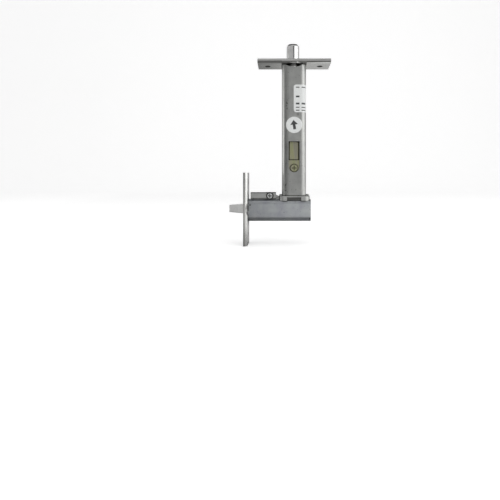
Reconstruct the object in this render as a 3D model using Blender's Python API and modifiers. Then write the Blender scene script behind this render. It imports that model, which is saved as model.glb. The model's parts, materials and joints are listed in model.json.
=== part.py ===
"""Automatic flush bolt for a wood door: a trigger in the door's edge drives a bolt out of its end.

The frame: X runs from the face plate into the door, Y through the door's thickness, Z up the door.
The origin lies on the face plate's seat, above the trigger. Heights below are measured from the
trigger's axis, and one parent empty sets them down from the origin.
"""

import math

import bmesh
import bpy
from mathutils import Matrix, Vector

MM = 0.001

# Fits
GAP = 0.3 * MM
SLIDE_FIT = 0.4 * MM

# Plates
PLATE_LENGTH = 69.85 * MM
PLATE_WIDTH = 25.4 * MM
PLATE_THICKNESS = 4.0 * MM
PLATE_BEVEL = 1.7 * MM
PLATE_SCREW_SPACING = 50.8 * MM
PLATE_SCREW_HOLE = 5.0 * MM
PLATE_COUNTERSINK = 9.6 * MM
PLATE_COUNTERSINK_DEPTH = 2.3 * MM
SEAT_HEIGHT = 19.5 * MM

# Trigger case
CASE_HEIGHT = 21.0 * MM
CASE_DROP = 1.3 * MM
CASE_PAST_FOOT = 0.6 * MM
CASE_DEPTH = 18.4 * MM
CASE_WALL = 1.5 * MM
CASE_CORNER = 4.2 * MM
CASE_TAB_WIDTH = 6.0 * MM
CASE_TAB_LENGTH = 2.0 * MM
PLUG_THICKNESS = 3.2 * MM
PLUG_INSET = 0.6 * MM
PLUG_SPIGOT_LENGTH = 3.0 * MM

# Bolt tube
BOLT_X = 43.6 * MM
TUBE_OFFSET = 0.9 * MM
TUBE_WIDTH = 23.4 * MM
TUBE_DEPTH = 18.4 * MM
TUBE_WALL = 1.5 * MM
TUBE_CORNER = 5.2 * MM
TUBE_TAB_WIDTH = 5.0 * MM
TUBE_TAB_LENGTH = 2.0 * MM
TUBE_SCOOP_WIDTH = 17.0 * MM
TUBE_SCOOP_DEPTH = 2.6 * MM
WINDOW_ROOM_BELOW = 0.4 * MM
WINDOW_ROOM_ABOVE = 2.85 * MM
WINDOW_WIDTH = 10.4 * MM

# Foot of the tube on the case
FOOT_LEFT_LIP = 3.0 * MM
FOOT_RIGHT_LIP = 3.6 * MM
FOOT_DEPTH = 19.4 * MM
FOOT_CORNER = 5.0 * MM
FOOT_HEIGHT = 3.5 * MM
FOOT_SKIRT = 1.9 * MM
FOOT_BEVEL = 0.8 * MM
FOOT_NOTCH_WIDTH = 13.2 * MM
FOOT_NOTCH_HEIGHT = 1.2 * MM
FOOT_NOTCH_SINK = 1.5 * MM
FOOT_RAMP_LENGTH = 2.4 * MM
FOOT_RAMP_HEIGHT = 1.6 * MM
FOOT_RAMP_TIP = 0.4 * MM
FOOT_RIVET_SHANK = 1.6 * MM
FOOT_RIVET_HEAD = 2.6 * MM
FOOT_RIVET_HEAD_HEIGHT = 0.8 * MM
FOOT_RIVET_SPREAD = 11.0 * MM
FOOT_RIVET_EDGE = 1.8 * MM
FOOT_RIVET_CROWN = 0.3 * MM
FOOT_RIVET_FLAT = 0.8 * MM

# Guide plate, guide bush and rod guide
GUIDE_PLATE_TOP = 142.9 * MM
GUIDE_BUSH_LENGTH = 7.0 * MM
GUIDE_BUSH_DROP = 3.4 * MM
ROD_GUIDE_ROOM = 3.45 * MM
ROD_GUIDE_LENGTH = 6.0 * MM

# Bolt
BOLT_DIAMETER = 12.7 * MM
BOLT_LENGTH = 46.0 * MM
BOLT_CHAMFER_HEIGHT = 2.2 * MM
BOLT_CHAMFER_WIDTH = 1.5 * MM
BOLT_BORE_DEPTH = 10.0 * MM
ROD_DIAMETER = 8.0 * MM
ROD_BELOW_SCREW = 6.3 * MM
ROD_END_ROOM = 1.5 * MM
ROD_CHAMFER = 0.8 * MM
ROD_PIN_DIAMETER = 2.6 * MM
ROD_PIN_HEIGHT = 5.0 * MM
BOLT_FOOT_EDGE = 0.5 * MM
BOLT_ADJUSTMENT = 16.4 * MM

# Crank
THROW = 19.05 * MM
LIFT_ARM = 22.4 * MM
TRIGGER_ARM = 12.3 * MM
LEVER_THICKNESS = 3.0 * MM
LEVER_HUB = 3.6 * MM
LEVER_END = 2.8 * MM
CRANK_PIN_DIAMETER = 4.0 * MM
CRANK_PIN_SHOULDER = 0.5 * MM
CRANK_SLOT_REACH = 7.9 * MM
TUBE_CRANK_ROOM = 4.2 * MM
PIVOT_SHANK = 4.4 * MM
WASHER_DIAMETER = 6.8 * MM

# Crank bracket
BRACKET_LEFT = 2.5 * MM
BRACKET_PAST_PIVOT = 5.9 * MM
BRACKET_HEIGHT = 6.6 * MM
BRACKET_DEPTH = 9.4 * MM
BRACKET_WALL = 1.5 * MM
BRACKET_ROUNDING = 1.4 * MM
BRACKET_TAB_LENGTH = 4.0 * MM
BRACKET_TAB_PLACES = (5.0 * MM, 11.0 * MM)
PIVOT_HEAD_DIAMETER = 6.0 * MM
PIVOT_HEAD_HEIGHT = 1.4 * MM
PIVOT_HEAD_EDGE = 0.4 * MM
PIVOT_RECESS_SPAN = 3.7 * MM
PIVOT_RECESS_SINK = 0.7 * MM
RECESS_WIDTH = 1.1 * MM

# Trigger
TRIGGER_REACH = 14.7 * MM
TRIGGER_TIP_HEIGHT = 7.0 * MM
TRIGGER_TIP_DEPTH = 4.4 * MM
TRIGGER_HEIGHT = 9.0 * MM
TRIGGER_DEPTH = 10.0 * MM
TRIGGER_BEVEL_LENGTH = 9.0 * MM
TRIGGER_ROUNDING = 0.7 * MM
TRIGGER_TENON_LENGTH = 7.0 * MM
TRIGGER_TENON_HEIGHT = 5.0 * MM
TRIGGER_TENON_DEPTH = 5.6 * MM
TRIGGER_PIN_DIAMETER = 2.6 * MM
TRIGGER_PIN_PLACE = 4.2 * MM
BAR_FORK_LENGTH = 6.6 * MM
BAR_FORK_HEIGHT = 2.6 * MM

# Trigger return spring
SPRING_FLOOR_ROOM = 0.75 * MM
SPRING_TONGUE_ROOM = 1.4 * MM
SPRING_WIRE = 0.7 * MM
SPRING_TURNS = 9
SPRING_SEAT_DEPTH = 2.0 * MM

# Bolt slide
SLIDE_BELOW_WINDOW = 1.0 * MM
SLIDE_CHAMFER = 0.7 * MM
SLIDE_RAIL_WIDTH = 8.6 * MM
SLIDE_RAIL_DEPTH = 1.6 * MM
SLIDE_SHOULDER_ROOM = 1.7 * MM
SLIDE_WIDTH = 14.0 * MM
SLIDE_EDGE = 1.5 * MM
TONGUE_LEFT = 5.4 * MM
TONGUE_RIGHT = 6.0 * MM
TONGUE_DEPTH = 9.0 * MM
TONGUE_BELOW_PIN = 5.2 * MM
GROOVE_ABOVE_PIN = 5.1 * MM
CLAMP_PLATE_BELOW_SCREW = 5.3 * MM
CLAMP_PLATE_ABOVE_SCREW = 8.0 * MM
CLAMP_PLATE_WIDTH = 11.6 * MM
CLAMP_PLATE_THICKNESS = 1.0 * MM
CLAMP_PLATE_BEVEL = 0.3 * MM
CLAMP_SCREW_HEIGHT = 39.3 * MM
CLAMP_SCREW_HEAD = 7.2 * MM
CLAMP_SCREW_HEAD_HEIGHT = 0.9 * MM
CLAMP_SCREW_EDGE = 0.3 * MM
CLAMP_SCREW_SHANK = 4.0 * MM
CLAMP_RECESS_SPAN = 4.8 * MM
CLAMP_RECESS_SINK = 0.55 * MM
CLAMP_WASHER_THICKNESS = 0.4 * MM

# Places worked out from the sizes above
FACE_BACK = 0.0
CASE_START = FACE_BACK + GAP
TUBE_X = BOLT_X + TUBE_OFFSET
FOOT_LEFT = TUBE_WIDTH / 2 + FOOT_LEFT_LIP
FOOT_RIGHT = TUBE_WIDTH / 2 + FOOT_RIGHT_LIP
CASE_END = TUBE_X + FOOT_RIGHT + CASE_PAST_FOOT
CASE_LENGTH = CASE_END - CASE_START
CASE_MIDDLE = -CASE_DROP
CASE_TOP = CASE_MIDDLE + CASE_HEIGHT / 2
CASE_INNER_TOP = CASE_TOP - CASE_WALL
CASE_FLOOR = CASE_MIDDLE - CASE_HEIGHT / 2 + CASE_WALL
CASE_INNER_DEPTH = CASE_DEPTH - 2 * CASE_WALL
GUIDE_PLATE_BACK = GUIDE_PLATE_TOP - PLATE_THICKNESS
FOOT_TOP = CASE_TOP + FOOT_HEIGHT
TUBE_BOTTOM = FOOT_TOP + GAP
TUBE_TOP = GUIDE_PLATE_BACK - GAP
TUBE_FRONT = -TUBE_DEPTH / 2
BRACKET_TOP = CASE_TOP + BRACKET_HEIGHT
PIVOT_HEIGHT = CASE_TOP + GAP + PIVOT_HEAD_DIAMETER / 2
SWING = math.asin(THROW / 2 / LIFT_ARM)
PIVOT_X = BOLT_X - LIFT_ARM
BRACKET_RIGHT = PIVOT_X + BRACKET_PAST_PIVOT
TRIGGER_TRAVEL = 2 * TRIGGER_ARM * math.sin(SWING)
LIFT_PIN_X = PIVOT_X + LIFT_ARM * math.cos(SWING)
LIFT_PIN_Z = PIVOT_HEIGHT - THROW / 2
DRIVE_PIN_X = PIVOT_X - TRIGGER_TRAVEL / 2
DRIVE_PIN_Z = PIVOT_HEIGHT - TRIGGER_ARM * math.cos(SWING)
BRACKET_INNER_DEPTH = BRACKET_DEPTH - 2 * BRACKET_WALL
CRANK_SLOT = LEVER_THICKNESS + 4 * GAP
PLUG_LEFT = CASE_END - PLUG_INSET - PLUG_THICKNESS
BAR_RIGHT = DRIVE_PIN_X + BAR_FORK_LENGTH
BAR_TOP = DRIVE_PIN_Z + BAR_FORK_HEIGHT
LEVER_HALF_AT_BAR_TOP = LEVER_END + (LEVER_HUB - LEVER_END) * BAR_FORK_HEIGHT / TRIGGER_ARM
BAR_LEVER_ROOM = LEVER_HALF_AT_BAR_TOP / math.cos(SWING) + BAR_FORK_HEIGHT * math.tan(SWING) + 2 * GAP
WINDOW_BOTTOM = CLAMP_SCREW_HEIGHT - CLAMP_SCREW_HEAD / 2 - WINDOW_ROOM_BELOW
WINDOW_TOP = CLAMP_SCREW_HEIGHT + THROW + CLAMP_SCREW_HEAD / 2 + WINDOW_ROOM_ABOVE
CLAMP_PLATE_BOTTOM = CLAMP_SCREW_HEIGHT - CLAMP_PLATE_BELOW_SCREW
CLAMP_PLATE_TOP = CLAMP_SCREW_HEIGHT + CLAMP_PLATE_ABOVE_SCREW
SLIDE_TOP = WINDOW_TOP - SLIDE_BELOW_WINDOW
SLIDE_SHOULDER = TUBE_BOTTOM + SLIDE_SHOULDER_ROOM
SLIDE_FRONT = TUBE_DEPTH / 2 - TUBE_WALL - SLIDE_FIT - CLAMP_PLATE_THICKNESS - GAP
TONGUE_BOTTOM = LIFT_PIN_Z - TONGUE_BELOW_PIN
SPRING_FLOOR = CASE_FLOOR + SPRING_FLOOR_ROOM
SPRING_DIAMETER = TONGUE_BOTTOM - SPRING_TONGUE_ROOM - SPRING_FLOOR - SPRING_WIRE
SPRING_HEIGHT = SPRING_FLOOR + (SPRING_DIAMETER + SPRING_WIRE) / 2
FORK_GROOVE_TOP = LIFT_PIN_Z + GROOVE_ABOVE_PIN
ROD_BOTTOM = CLAMP_SCREW_HEIGHT - ROD_BELOW_SCREW
SLIDE_BORE_BOTTOM = ROD_BOTTOM - BOLT_ADJUSTMENT - ROD_END_ROOM
ROD_GUIDE_BOTTOM = SLIDE_TOP + THROW + ROD_GUIDE_ROOM
BOLT_TIP = GUIDE_PLATE_TOP + BOLT_ADJUSTMENT

ROUND_STEPS = 32
SMALL_STEPS = 20
RIVET_STEPS = 12
CORNER_STEPS = 10
SMOOTH_ANGLE = math.radians(35)
OVERCUT = 1.0 * MM

# Base colour in linear light, metallic, roughness
FINISHES = {
    "zinc_plate": ((0.38, 0.39, 0.40), 1.0, 0.32),
    "satin_chrome": ((0.52, 0.52, 0.51), 1.0, 0.28),
    "polished_steel": ((0.60, 0.60, 0.59), 1.0, 0.18),
    "yellow_zinc": ((0.36, 0.34, 0.20), 1.0, 0.38),
    "cast_zinc": ((0.45, 0.45, 0.45), 1.0, 0.40),
    "spring_steel": ((0.25, 0.25, 0.26), 1.0, 0.35),
}


def clear_scene():
    for obj in list(bpy.data.objects):
        bpy.data.objects.remove(obj, do_unlink=True)


def make_collection(name):
    collection = bpy.data.collections.new(name)
    bpy.context.scene.collection.children.link(collection)
    return collection


def make_material(name):
    colour, metallic, roughness = FINISHES[name]
    material = bpy.data.materials.new(name)
    material.use_nodes = True
    shader = material.node_tree.nodes["Principled BSDF"]
    shader.inputs["Base Color"].default_value = (*colour, 1.0)
    shader.inputs["Metallic"].default_value = metallic
    shader.inputs["Roughness"].default_value = roughness
    return material


clear_scene()
PARTS = make_collection("flush_bolt")
CUTTERS = make_collection("cutters")
MATERIALS = {name: make_material(name) for name in FINISHES}


def make_empty(name, place, parent=None):
    empty = bpy.data.objects.new(name, None)
    empty.location = place
    empty.parent = parent
    PARTS.objects.link(empty)
    return empty


# The trigger's axis hangs below the seat point. Each moving body has an empty on its joint's axis.
FRAME = make_empty("trigger_axis", (0, 0, -SEAT_HEIGHT))
TRIGGER_BODY = make_empty("trigger_body", (0, 0, 0), FRAME)
CRANK_BODY = make_empty("crank_body", (PIVOT_X, 0, PIVOT_HEIGHT), FRAME)
SLIDE_BODY = make_empty("slide_body", (BOLT_X, 0, 0), FRAME)
BOLT_BODY = make_empty("bolt_body", (0, 0, 0), SLIDE_BODY)


def place(obj, body):
    """Parent an object to its body without moving it in the trigger axis's frame."""
    offset = Vector((0, 0, 0))
    step = body
    while step is not FRAME and step is not None:
        offset += step.location
        step = step.parent
    obj.location -= offset
    obj.parent = body


def finish(obj, finish_name=None, body=None):
    """Put a piece in the parts with its finish, or, without one, among the cutters."""
    place(obj, body or FRAME)
    if finish_name is None:
        CUTTERS.objects.link(obj)
        obj.hide_render = True
        obj.display_type = "WIRE"
        return obj
    PARTS.objects.link(obj)
    obj.data.materials.append(MATERIALS[finish_name])
    return obj


def smooth(obj):
    obj.data.shade_smooth()
    obj.data.set_sharp_from_angle(angle=SMOOTH_ANGLE)


def box(name, low, high, finish_name=None, body=None):
    mesh = bpy.data.meshes.new(name)
    cube = bmesh.new()
    bmesh.ops.create_cube(cube, size=1.0)
    size = [b - a for a, b in zip(low, high)]
    bmesh.ops.scale(cube, vec=size, verts=cube.verts)
    cube.to_mesh(mesh)
    cube.free()
    obj = bpy.data.objects.new(name, mesh)
    obj.location = [(a + b) / 2 for a, b in zip(low, high)]
    return finish(obj, finish_name, body)


# An outline is drawn in the plane across its axis, and a turned piece stands along its axis.
TURNS = {
    "X": Matrix(((0, 0, 1), (1, 0, 0), (0, 1, 0))).to_euler(),
    "Y": Matrix(((1, 0, 0), (0, 0, -1), (0, 1, 0))).to_euler(),
    "Z": Matrix.Identity(3).to_euler(),
}


def arc(centre, radius, start, end, steps):
    angles = [start + (end - start) * i / steps for i in range(steps + 1)]
    return [(centre[0] + radius * math.cos(a), centre[1] + radius * math.sin(a)) for a in angles]


def circle(radius, centre=(0, 0), steps=ROUND_STEPS):
    return arc(centre, radius, 0, math.tau * (steps - 1) / steps, steps - 1)


def rounded_rectangle(width, height, radius, centre=(0, 0), steps=CORNER_STEPS):
    across, up = width / 2 - radius, height / 2 - radius
    corners = ((across, up), (-across, up), (-across, -up), (across, -up))
    points = []
    for quarter, (x, y) in enumerate(corners):
        start = quarter * math.pi / 2
        points += arc((centre[0] + x, centre[1] + y), radius, start, start + math.pi / 2, steps)
    return points


def extruded(name, loops, thickness, centre, axis, finish_name=None, body=None):
    """A flat outline, with any further loops as holes, extruded evenly each way along an axis."""
    curve = bpy.data.curves.new(name, "CURVE")
    curve.dimensions = "2D"
    curve.fill_mode = "BOTH"
    curve.extrude = thickness / 2
    for loop in loops:
        spline = curve.splines.new("POLY")
        spline.points.add(len(loop) - 1)
        for point, (x, y) in zip(spline.points, loop):
            point.co = (x, y, 0, 1)
        spline.use_cyclic_u = True
    drawn = bpy.data.objects.new(name + "_outline", curve)
    bpy.context.scene.collection.objects.link(drawn)
    graph = bpy.context.evaluated_depsgraph_get()
    mesh = bpy.data.meshes.new_from_object(drawn.evaluated_get(graph))
    bpy.data.objects.remove(drawn, do_unlink=True)
    welded = bmesh.new()
    welded.from_mesh(mesh)
    bmesh.ops.remove_doubles(welded, verts=welded.verts, dist=0.001 * MM)
    bmesh.ops.dissolve_limit(
        welded, angle_limit=math.radians(0.5), verts=welded.verts, edges=welded.edges
    )
    bmesh.ops.recalc_face_normals(welded, faces=welded.faces)
    welded.to_mesh(mesh)
    welded.free()
    mesh.name = name
    obj = bpy.data.objects.new(name, mesh)
    obj.rotation_euler = TURNS[axis]
    obj.location = centre
    finish(obj, finish_name, body)
    smooth(obj)
    return obj


def turned(name, profile, centre, axis, finish_name=None, body=None, ring=False, steps=ROUND_STEPS):
    """A turned piece. The profile runs down the outer side, from the far end to the near one."""
    mesh = bpy.data.meshes.new(name)
    edges = [(i, i + 1) for i in range(len(profile) - 1)]
    if ring:
        edges.append((len(profile) - 1, 0))
    mesh.from_pydata([(radius, 0, height) for radius, height in profile], edges, [])
    obj = bpy.data.objects.new(name, mesh)
    screw = obj.modifiers.new("turn", "SCREW")
    screw.axis = "Z"
    screw.steps = steps
    screw.render_steps = steps
    screw.use_merge_vertices = True
    screw.merge_threshold = 0.001 * MM
    screw.use_smooth_shade = False
    obj.rotation_euler = TURNS[axis]
    obj.location = centre
    return finish(obj, finish_name, body)


def rod(name, radius, start, end, across, axis, finish_name=None, body=None, chamfer=0.0):
    """A plain round bar along an axis from start to end, at the two other coordinates given."""
    half = (end - start) / 2
    middle = (start + end) / 2
    if chamfer:
        profile = [(0, half), (radius - chamfer, half), (radius, half - chamfer)]
        profile += [(radius, chamfer - half), (radius - chamfer, -half), (0, -half)]
    else:
        profile = [(0, half), (radius, half), (radius, -half), (0, -half)]
    # Along Y the turned piece points to -Y, which a plain bar doesn't show
    spots = {
        "X": (middle, across[0], across[1]),
        "Y": (across[0], middle, across[1]),
        "Z": (across[0], across[1], middle),
    }
    return turned(name, profile, spots[axis], axis, finish_name, body, steps=SMALL_STEPS)


def ring(name, outer, inner, start, end, across, axis, finish_name=None, body=None):
    """A washer or bush along an axis."""
    half = (end - start) / 2
    middle = (start + end) / 2
    profile = [(inner, half), (outer, half), (outer, -half), (inner, -half)]
    spots = {
        "X": (middle, across[0], across[1]),
        "Y": (across[0], middle, across[1]),
        "Z": (across[0], across[1], middle),
    }
    return turned(name, profile, spots[axis], axis, finish_name, body, ring=True)


def cut(obj, *cutters):
    for cutter in cutters:
        boolean = obj.modifiers.new("cut " + cutter.name, "BOOLEAN")
        boolean.operation = "DIFFERENCE"
        boolean.solver = "EXACT"
        boolean.object = cutter


def join(obj, *added):
    for other in added:
        boolean = obj.modifiers.new("join " + other.name, "BOOLEAN")
        boolean.operation = "UNION"
        boolean.solver = "EXACT"
        boolean.object = other


def bevel(obj, width, angle=40):
    modifier = obj.modifiers.new("edges", "BEVEL")
    modifier.width = width
    modifier.segments = 2
    modifier.limit_method = "ANGLE"
    modifier.angle_limit = math.radians(angle)
    return modifier


def plate_section():
    """Half inch wide section of both plates: square at the face, bevelled at the long back edges."""
    half, back = PLATE_WIDTH / 2, PLATE_THICKNESS / 2
    return [
        (half, back - PLATE_BEVEL),
        (half - PLATE_BEVEL, back),
        (PLATE_BEVEL - half, back),
        (-half, back - PLATE_BEVEL),
        (-half, -back),
        (half, -back),
    ]


def bevelled_plate(name, outward, along, middle):
    """A plate whose face looks along outward. Its pad, screw holes and section follow the plate."""
    if along == "Z":
        axis = "X"
        section = [(y, x) for x, y in plate_section()]
    else:
        axis = "Z"
        section = [(x, -y) for x, y in reversed(plate_section())]
    plate = extruded(name, [section], PLATE_LENGTH, middle, along, "satin_chrome")
    pad = extruded(name + "_pad", [circle(PLATE_WIDTH / 2)], PLATE_THICKNESS, middle, axis)
    join(plate, pad)
    half = PLATE_SCREW_SPACING / 2
    depth = PLATE_THICKNESS / 2
    for side in (-1, 1):
        centre = list(middle)
        centre["XYZ".index(along)] += side * half
        hole = extruded(
            f"{name}_hole_{side + 2}",
            [circle(PLATE_SCREW_HOLE / 2, steps=SMALL_STEPS)],
            PLATE_THICKNESS + 2 * OVERCUT,
            centre,
            axis,
        )
        cut(plate, hole)
        narrow, wide = PLATE_SCREW_HOLE / 2, PLATE_COUNTERSINK / 2
        slope = (wide - narrow) / PLATE_COUNTERSINK_DEPTH
        reach = depth + OVERCUT
        inner = depth - PLATE_COUNTERSINK_DEPTH
        if outward > 0:
            profile = [(0, reach), (wide + slope * OVERCUT, reach), (narrow - slope * OVERCUT / 2,
                       inner - OVERCUT / 2), (0, inner - OVERCUT / 2)]
        else:
            profile = [(0, OVERCUT / 2 - inner), (narrow - slope * OVERCUT / 2, OVERCUT / 2 - inner),
                       (wide + slope * OVERCUT, -reach), (0, -reach)]
        sink = turned(f"{name}_sink_{side + 2}", profile, centre, axis, steps=SMALL_STEPS)
        cut(plate, sink)
    return plate


def make_face_plate():
    middle = (FACE_BACK - PLATE_THICKNESS / 2, 0, 0)
    plate = bevelled_plate("face_plate", -1, "Z", middle)
    slot_outline = rounded_rectangle(
        TRIGGER_DEPTH + 2 * GAP, TRIGGER_HEIGHT + 2 * GAP, TRIGGER_ROUNDING, steps=3
    )
    slot = extruded("trigger_slot", [slot_outline], PLATE_THICKNESS + 2 * OVERCUT, middle, "X")
    cut(plate, slot)
    for name, sign in (("top", 1), ("bottom", -1)):
        wall_middle = CASE_MIDDLE + sign * (CASE_HEIGHT - CASE_WALL) / 2
        half_wall = CASE_WALL / 2 + GAP
        pocket = box(
            f"case_pocket_{name}",
            (CASE_START - CASE_TAB_LENGTH - GAP, -CASE_TAB_WIDTH / 2 - GAP, wall_middle - half_wall),
            (FACE_BACK + OVERCUT, CASE_TAB_WIDTH / 2 + GAP, wall_middle + half_wall),
        )
        cut(plate, pocket)


def case_outline(offset=0.0):
    """Outline of the trigger case in the YZ plane, grown by offset."""
    return rounded_rectangle(
        CASE_DEPTH + 2 * offset, CASE_HEIGHT + 2 * offset, CASE_CORNER + offset
    )


def make_trigger_case():
    middle = ((CASE_START + CASE_END) / 2, 0, CASE_MIDDLE)
    case = extruded(
        "trigger_case", [case_outline(), case_outline(-CASE_WALL)], CASE_LENGTH, middle, "X",
        "zinc_plate",
    )
    for name, sign in (("top", 1), ("bottom", -1)):
        wall_middle = CASE_MIDDLE + sign * (CASE_HEIGHT - CASE_WALL) / 2
        tab = box(
            f"case_tab_{name}",
            (CASE_START - CASE_TAB_LENGTH, -CASE_TAB_WIDTH / 2, wall_middle - CASE_WALL / 2),
            (CASE_START + OVERCUT, CASE_TAB_WIDTH / 2, wall_middle + CASE_WALL / 2),
        )
        join(case, tab)
    crank_slot = box(
        "case_crank_slot",
        (PIVOT_X - CRANK_SLOT_REACH, -CRANK_SLOT / 2, CASE_INNER_TOP - OVERCUT),
        (BOLT_X, CRANK_SLOT / 2, CASE_TOP + OVERCUT),
    )
    slide_slot = box(
        "case_slide_slot",
        (BOLT_X - TONGUE_LEFT - SLIDE_FIT, -TONGUE_DEPTH / 2 - SLIDE_FIT, CASE_INNER_TOP - OVERCUT),
        (BOLT_X + TONGUE_RIGHT + SLIDE_FIT, TONGUE_DEPTH / 2 + SLIDE_FIT, CASE_TOP + OVERCUT),
    )
    washer_room = WASHER_DIAMETER / 2 + GAP
    washer_slot = box(
        "case_washer_slot",
        (PIVOT_X - washer_room, -BRACKET_INNER_DEPTH / 2, CASE_INNER_TOP - OVERCUT),
        (PIVOT_X + washer_room, BRACKET_INNER_DEPTH / 2, CASE_TOP + OVERCUT),
    )
    cut(case, crank_slot, washer_slot, slide_slot)
    for cutter in bracket_tabs(GAP, "case_slot"):
        cut(case, cutter)
    for index, (x, y) in enumerate(foot_rivet_places()):
        hole = rod(
            f"case_rivet_hole_{index + 1}", FOOT_RIVET_SHANK / 2 + GAP, CASE_INNER_TOP - 2 * OVERCUT,
            CASE_TOP + OVERCUT, (x, y), "Z",
        )
        cut(case, hole)


def bracket_tabs(grow, name):
    """The bracket's four tabs, or with grow above zero the case's slots for them."""
    tabs = []
    inner, outer = BRACKET_INNER_DEPTH / 2, BRACKET_DEPTH / 2
    for column, start in enumerate(BRACKET_TAB_PLACES):
        for side in (-1, 1):
            near, far = sorted((side * (inner - grow), side * (outer + grow)))
            tabs.append(box(
                f"{name}_{column + 1}_{'front' if side < 0 else 'back'}",
                (start - grow, near, CASE_INNER_TOP - GAP - (OVERCUT if grow else 0)),
                (start + BRACKET_TAB_LENGTH + grow, far, CASE_TOP + OVERCUT),
            ))
    return tabs


def make_crank_bracket():
    left, right = BRACKET_LEFT, BRACKET_RIGHT
    inner_top = BRACKET_TOP - BRACKET_WALL
    bottom = CASE_TOP + GAP
    outer, inner = BRACKET_DEPTH / 2, BRACKET_INNER_DEPTH / 2
    bend, bend_height = outer - BRACKET_ROUNDING, BRACKET_TOP - BRACKET_ROUNDING
    quarter = math.pi / 2
    section = [
        (outer, bottom),
        *arc((bend, bend_height), BRACKET_ROUNDING, 0, quarter, CORNER_STEPS),
        *arc((-bend, bend_height), BRACKET_ROUNDING, quarter, 2 * quarter, CORNER_STEPS),
        (-outer, bottom),
        (-inner, bottom),
        (-inner, inner_top),
        (inner, inner_top),
        (inner, bottom),
    ]
    bracket = extruded(
        "crank_bracket", [section], right - left, ((left + right) / 2, 0, 0), "X", "zinc_plate"
    )
    join(bracket, *bracket_tabs(0.0, "bracket_tab"))
    hub_slot = box(
        "bracket_hub_slot",
        (PIVOT_X - LEVER_HUB - 2 * GAP, -inner - GAP, inner_top - OVERCUT),
        (right + OVERCUT, inner + GAP, BRACKET_TOP + OVERCUT),
    )
    pivot_hole = rod(
        "bracket_pivot_hole", PIVOT_SHANK / 2 + GAP, -outer - OVERCUT, outer + OVERCUT,
        (PIVOT_X, PIVOT_HEIGHT), "Y",
    )
    cut(bracket, hub_slot, pivot_hole)


def cross_recess(name, x, face, z, size, depth):
    """Two crossed slots sunk into a screw head whose face looks to -Y."""
    width, reach = RECESS_WIDTH / 2, size / 2
    long_slot = box(
        name + "_slot", (x - reach, face - OVERCUT, z - width), (x + reach, face + depth, z + width)
    )
    cross_slot = box(
        name + "_cross", (x - width, face - OVERCUT, z - reach), (x + width, face + depth, z + reach)
    )
    join(long_slot, cross_slot)
    return long_slot


def make_pivot():
    outer = BRACKET_DEPTH / 2
    spot = (PIVOT_X, PIVOT_HEIGHT)
    head_back = -outer - GAP
    head_front = head_back - PIVOT_HEAD_HEIGHT
    end = outer + GAP + PIVOT_HEAD_HEIGHT
    # The profile runs from the head's face, which points to -Y, to the shank's end
    head, shank = PIVOT_HEAD_DIAMETER / 2, PIVOT_SHANK / 2
    edge = PIVOT_HEAD_EDGE
    profile = [
        (0, -head_front),
        (head - edge, -head_front),
        (head, -head_front - edge),
        (head, -head_back),
        (shank, -head_back),
        (shank, -end),
        (0, -end),
    ]
    screw = turned(
        "crank_pivot_screw", profile, (PIVOT_X, 0, PIVOT_HEIGHT), "Y", "zinc_plate", steps=SMALL_STEPS
    )
    cut(screw, cross_recess(
        "pivot_recess", PIVOT_X, head_front, PIVOT_HEIGHT, PIVOT_RECESS_SPAN, PIVOT_RECESS_SINK,
    ))
    ring("pivot_nut", head, shank + GAP, outer + GAP, end, spot, "Y", "zinc_plate")
    washer_inner = LEVER_THICKNESS / 2 + GAP
    washer_outer = BRACKET_INNER_DEPTH / 2 - GAP
    radius = WASHER_DIAMETER / 2
    ring("crank_washer_front", radius, shank + GAP, -washer_outer, -washer_inner, spot, "Y",
         "zinc_plate")
    ring("crank_washer_back", radius, shank + GAP, washer_inner, washer_outer, spot, "Y",
         "zinc_plate")


def tube_outline(offset=0.0):
    """Outline of the bolt tube in the XY plane, grown by offset."""
    return rounded_rectangle(
        TUBE_WIDTH + 2 * offset, TUBE_DEPTH + 2 * offset, TUBE_CORNER + offset, (TUBE_X, 0)
    )


def make_bolt_tube():
    tube = extruded(
        "bolt_tube", [tube_outline(), tube_outline(-TUBE_WALL)], TUBE_TOP - TUBE_BOTTOM,
        (0, 0, (TUBE_TOP + TUBE_BOTTOM) / 2), "Z", "zinc_plate",
    )
    for name, sign in (("left", -1), ("right", 1)):
        wall_middle = TUBE_X + sign * (TUBE_WIDTH - TUBE_WALL) / 2
        tab = box(
            f"tube_tab_{name}",
            (wall_middle - TUBE_WALL / 2, -TUBE_TAB_WIDTH / 2, TUBE_TOP - OVERCUT),
            (wall_middle + TUBE_WALL / 2, TUBE_TAB_WIDTH / 2, TUBE_TOP + TUBE_TAB_LENGTH),
        )
        join(tube, tab)
    radius = ((TUBE_SCOOP_WIDTH / 2) ** 2 + TUBE_SCOOP_DEPTH**2) / (2 * TUBE_SCOOP_DEPTH)
    scoop = extruded(
        "tube_scoop", [circle(radius, steps=3 * ROUND_STEPS)], TUBE_DEPTH + 2 * OVERCUT,
        (TUBE_X, 0, TUBE_TOP + radius - TUBE_SCOOP_DEPTH), "Y",
    )
    half_window = WINDOW_WIDTH / 2
    window_outline = [(half_window, WINDOW_TOP), (-half_window, WINDOW_TOP)]
    window_outline += arc(
        (0, WINDOW_BOTTOM + half_window), half_window, math.pi, math.tau, 2 * CORNER_STEPS
    )
    window = extruded(
        "adjusting_window", [window_outline], TUBE_WALL + 2 * OVERCUT,
        (TUBE_X, TUBE_FRONT + TUBE_WALL / 2, 0), "Y",
    )
    left = TUBE_X - TUBE_WIDTH / 2
    arm_top = PIVOT_HEIGHT + (left + TUBE_WALL - PIVOT_X) * math.tan(SWING)
    crank_slot = box(
        "tube_crank_slot",
        (left - OVERCUT, -CRANK_SLOT / 2, TUBE_BOTTOM - OVERCUT),
        (left + 2 * TUBE_WALL, CRANK_SLOT / 2, arm_top + TUBE_CRANK_ROOM),
    )
    cut(tube, scoop, window, crank_slot)


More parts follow.
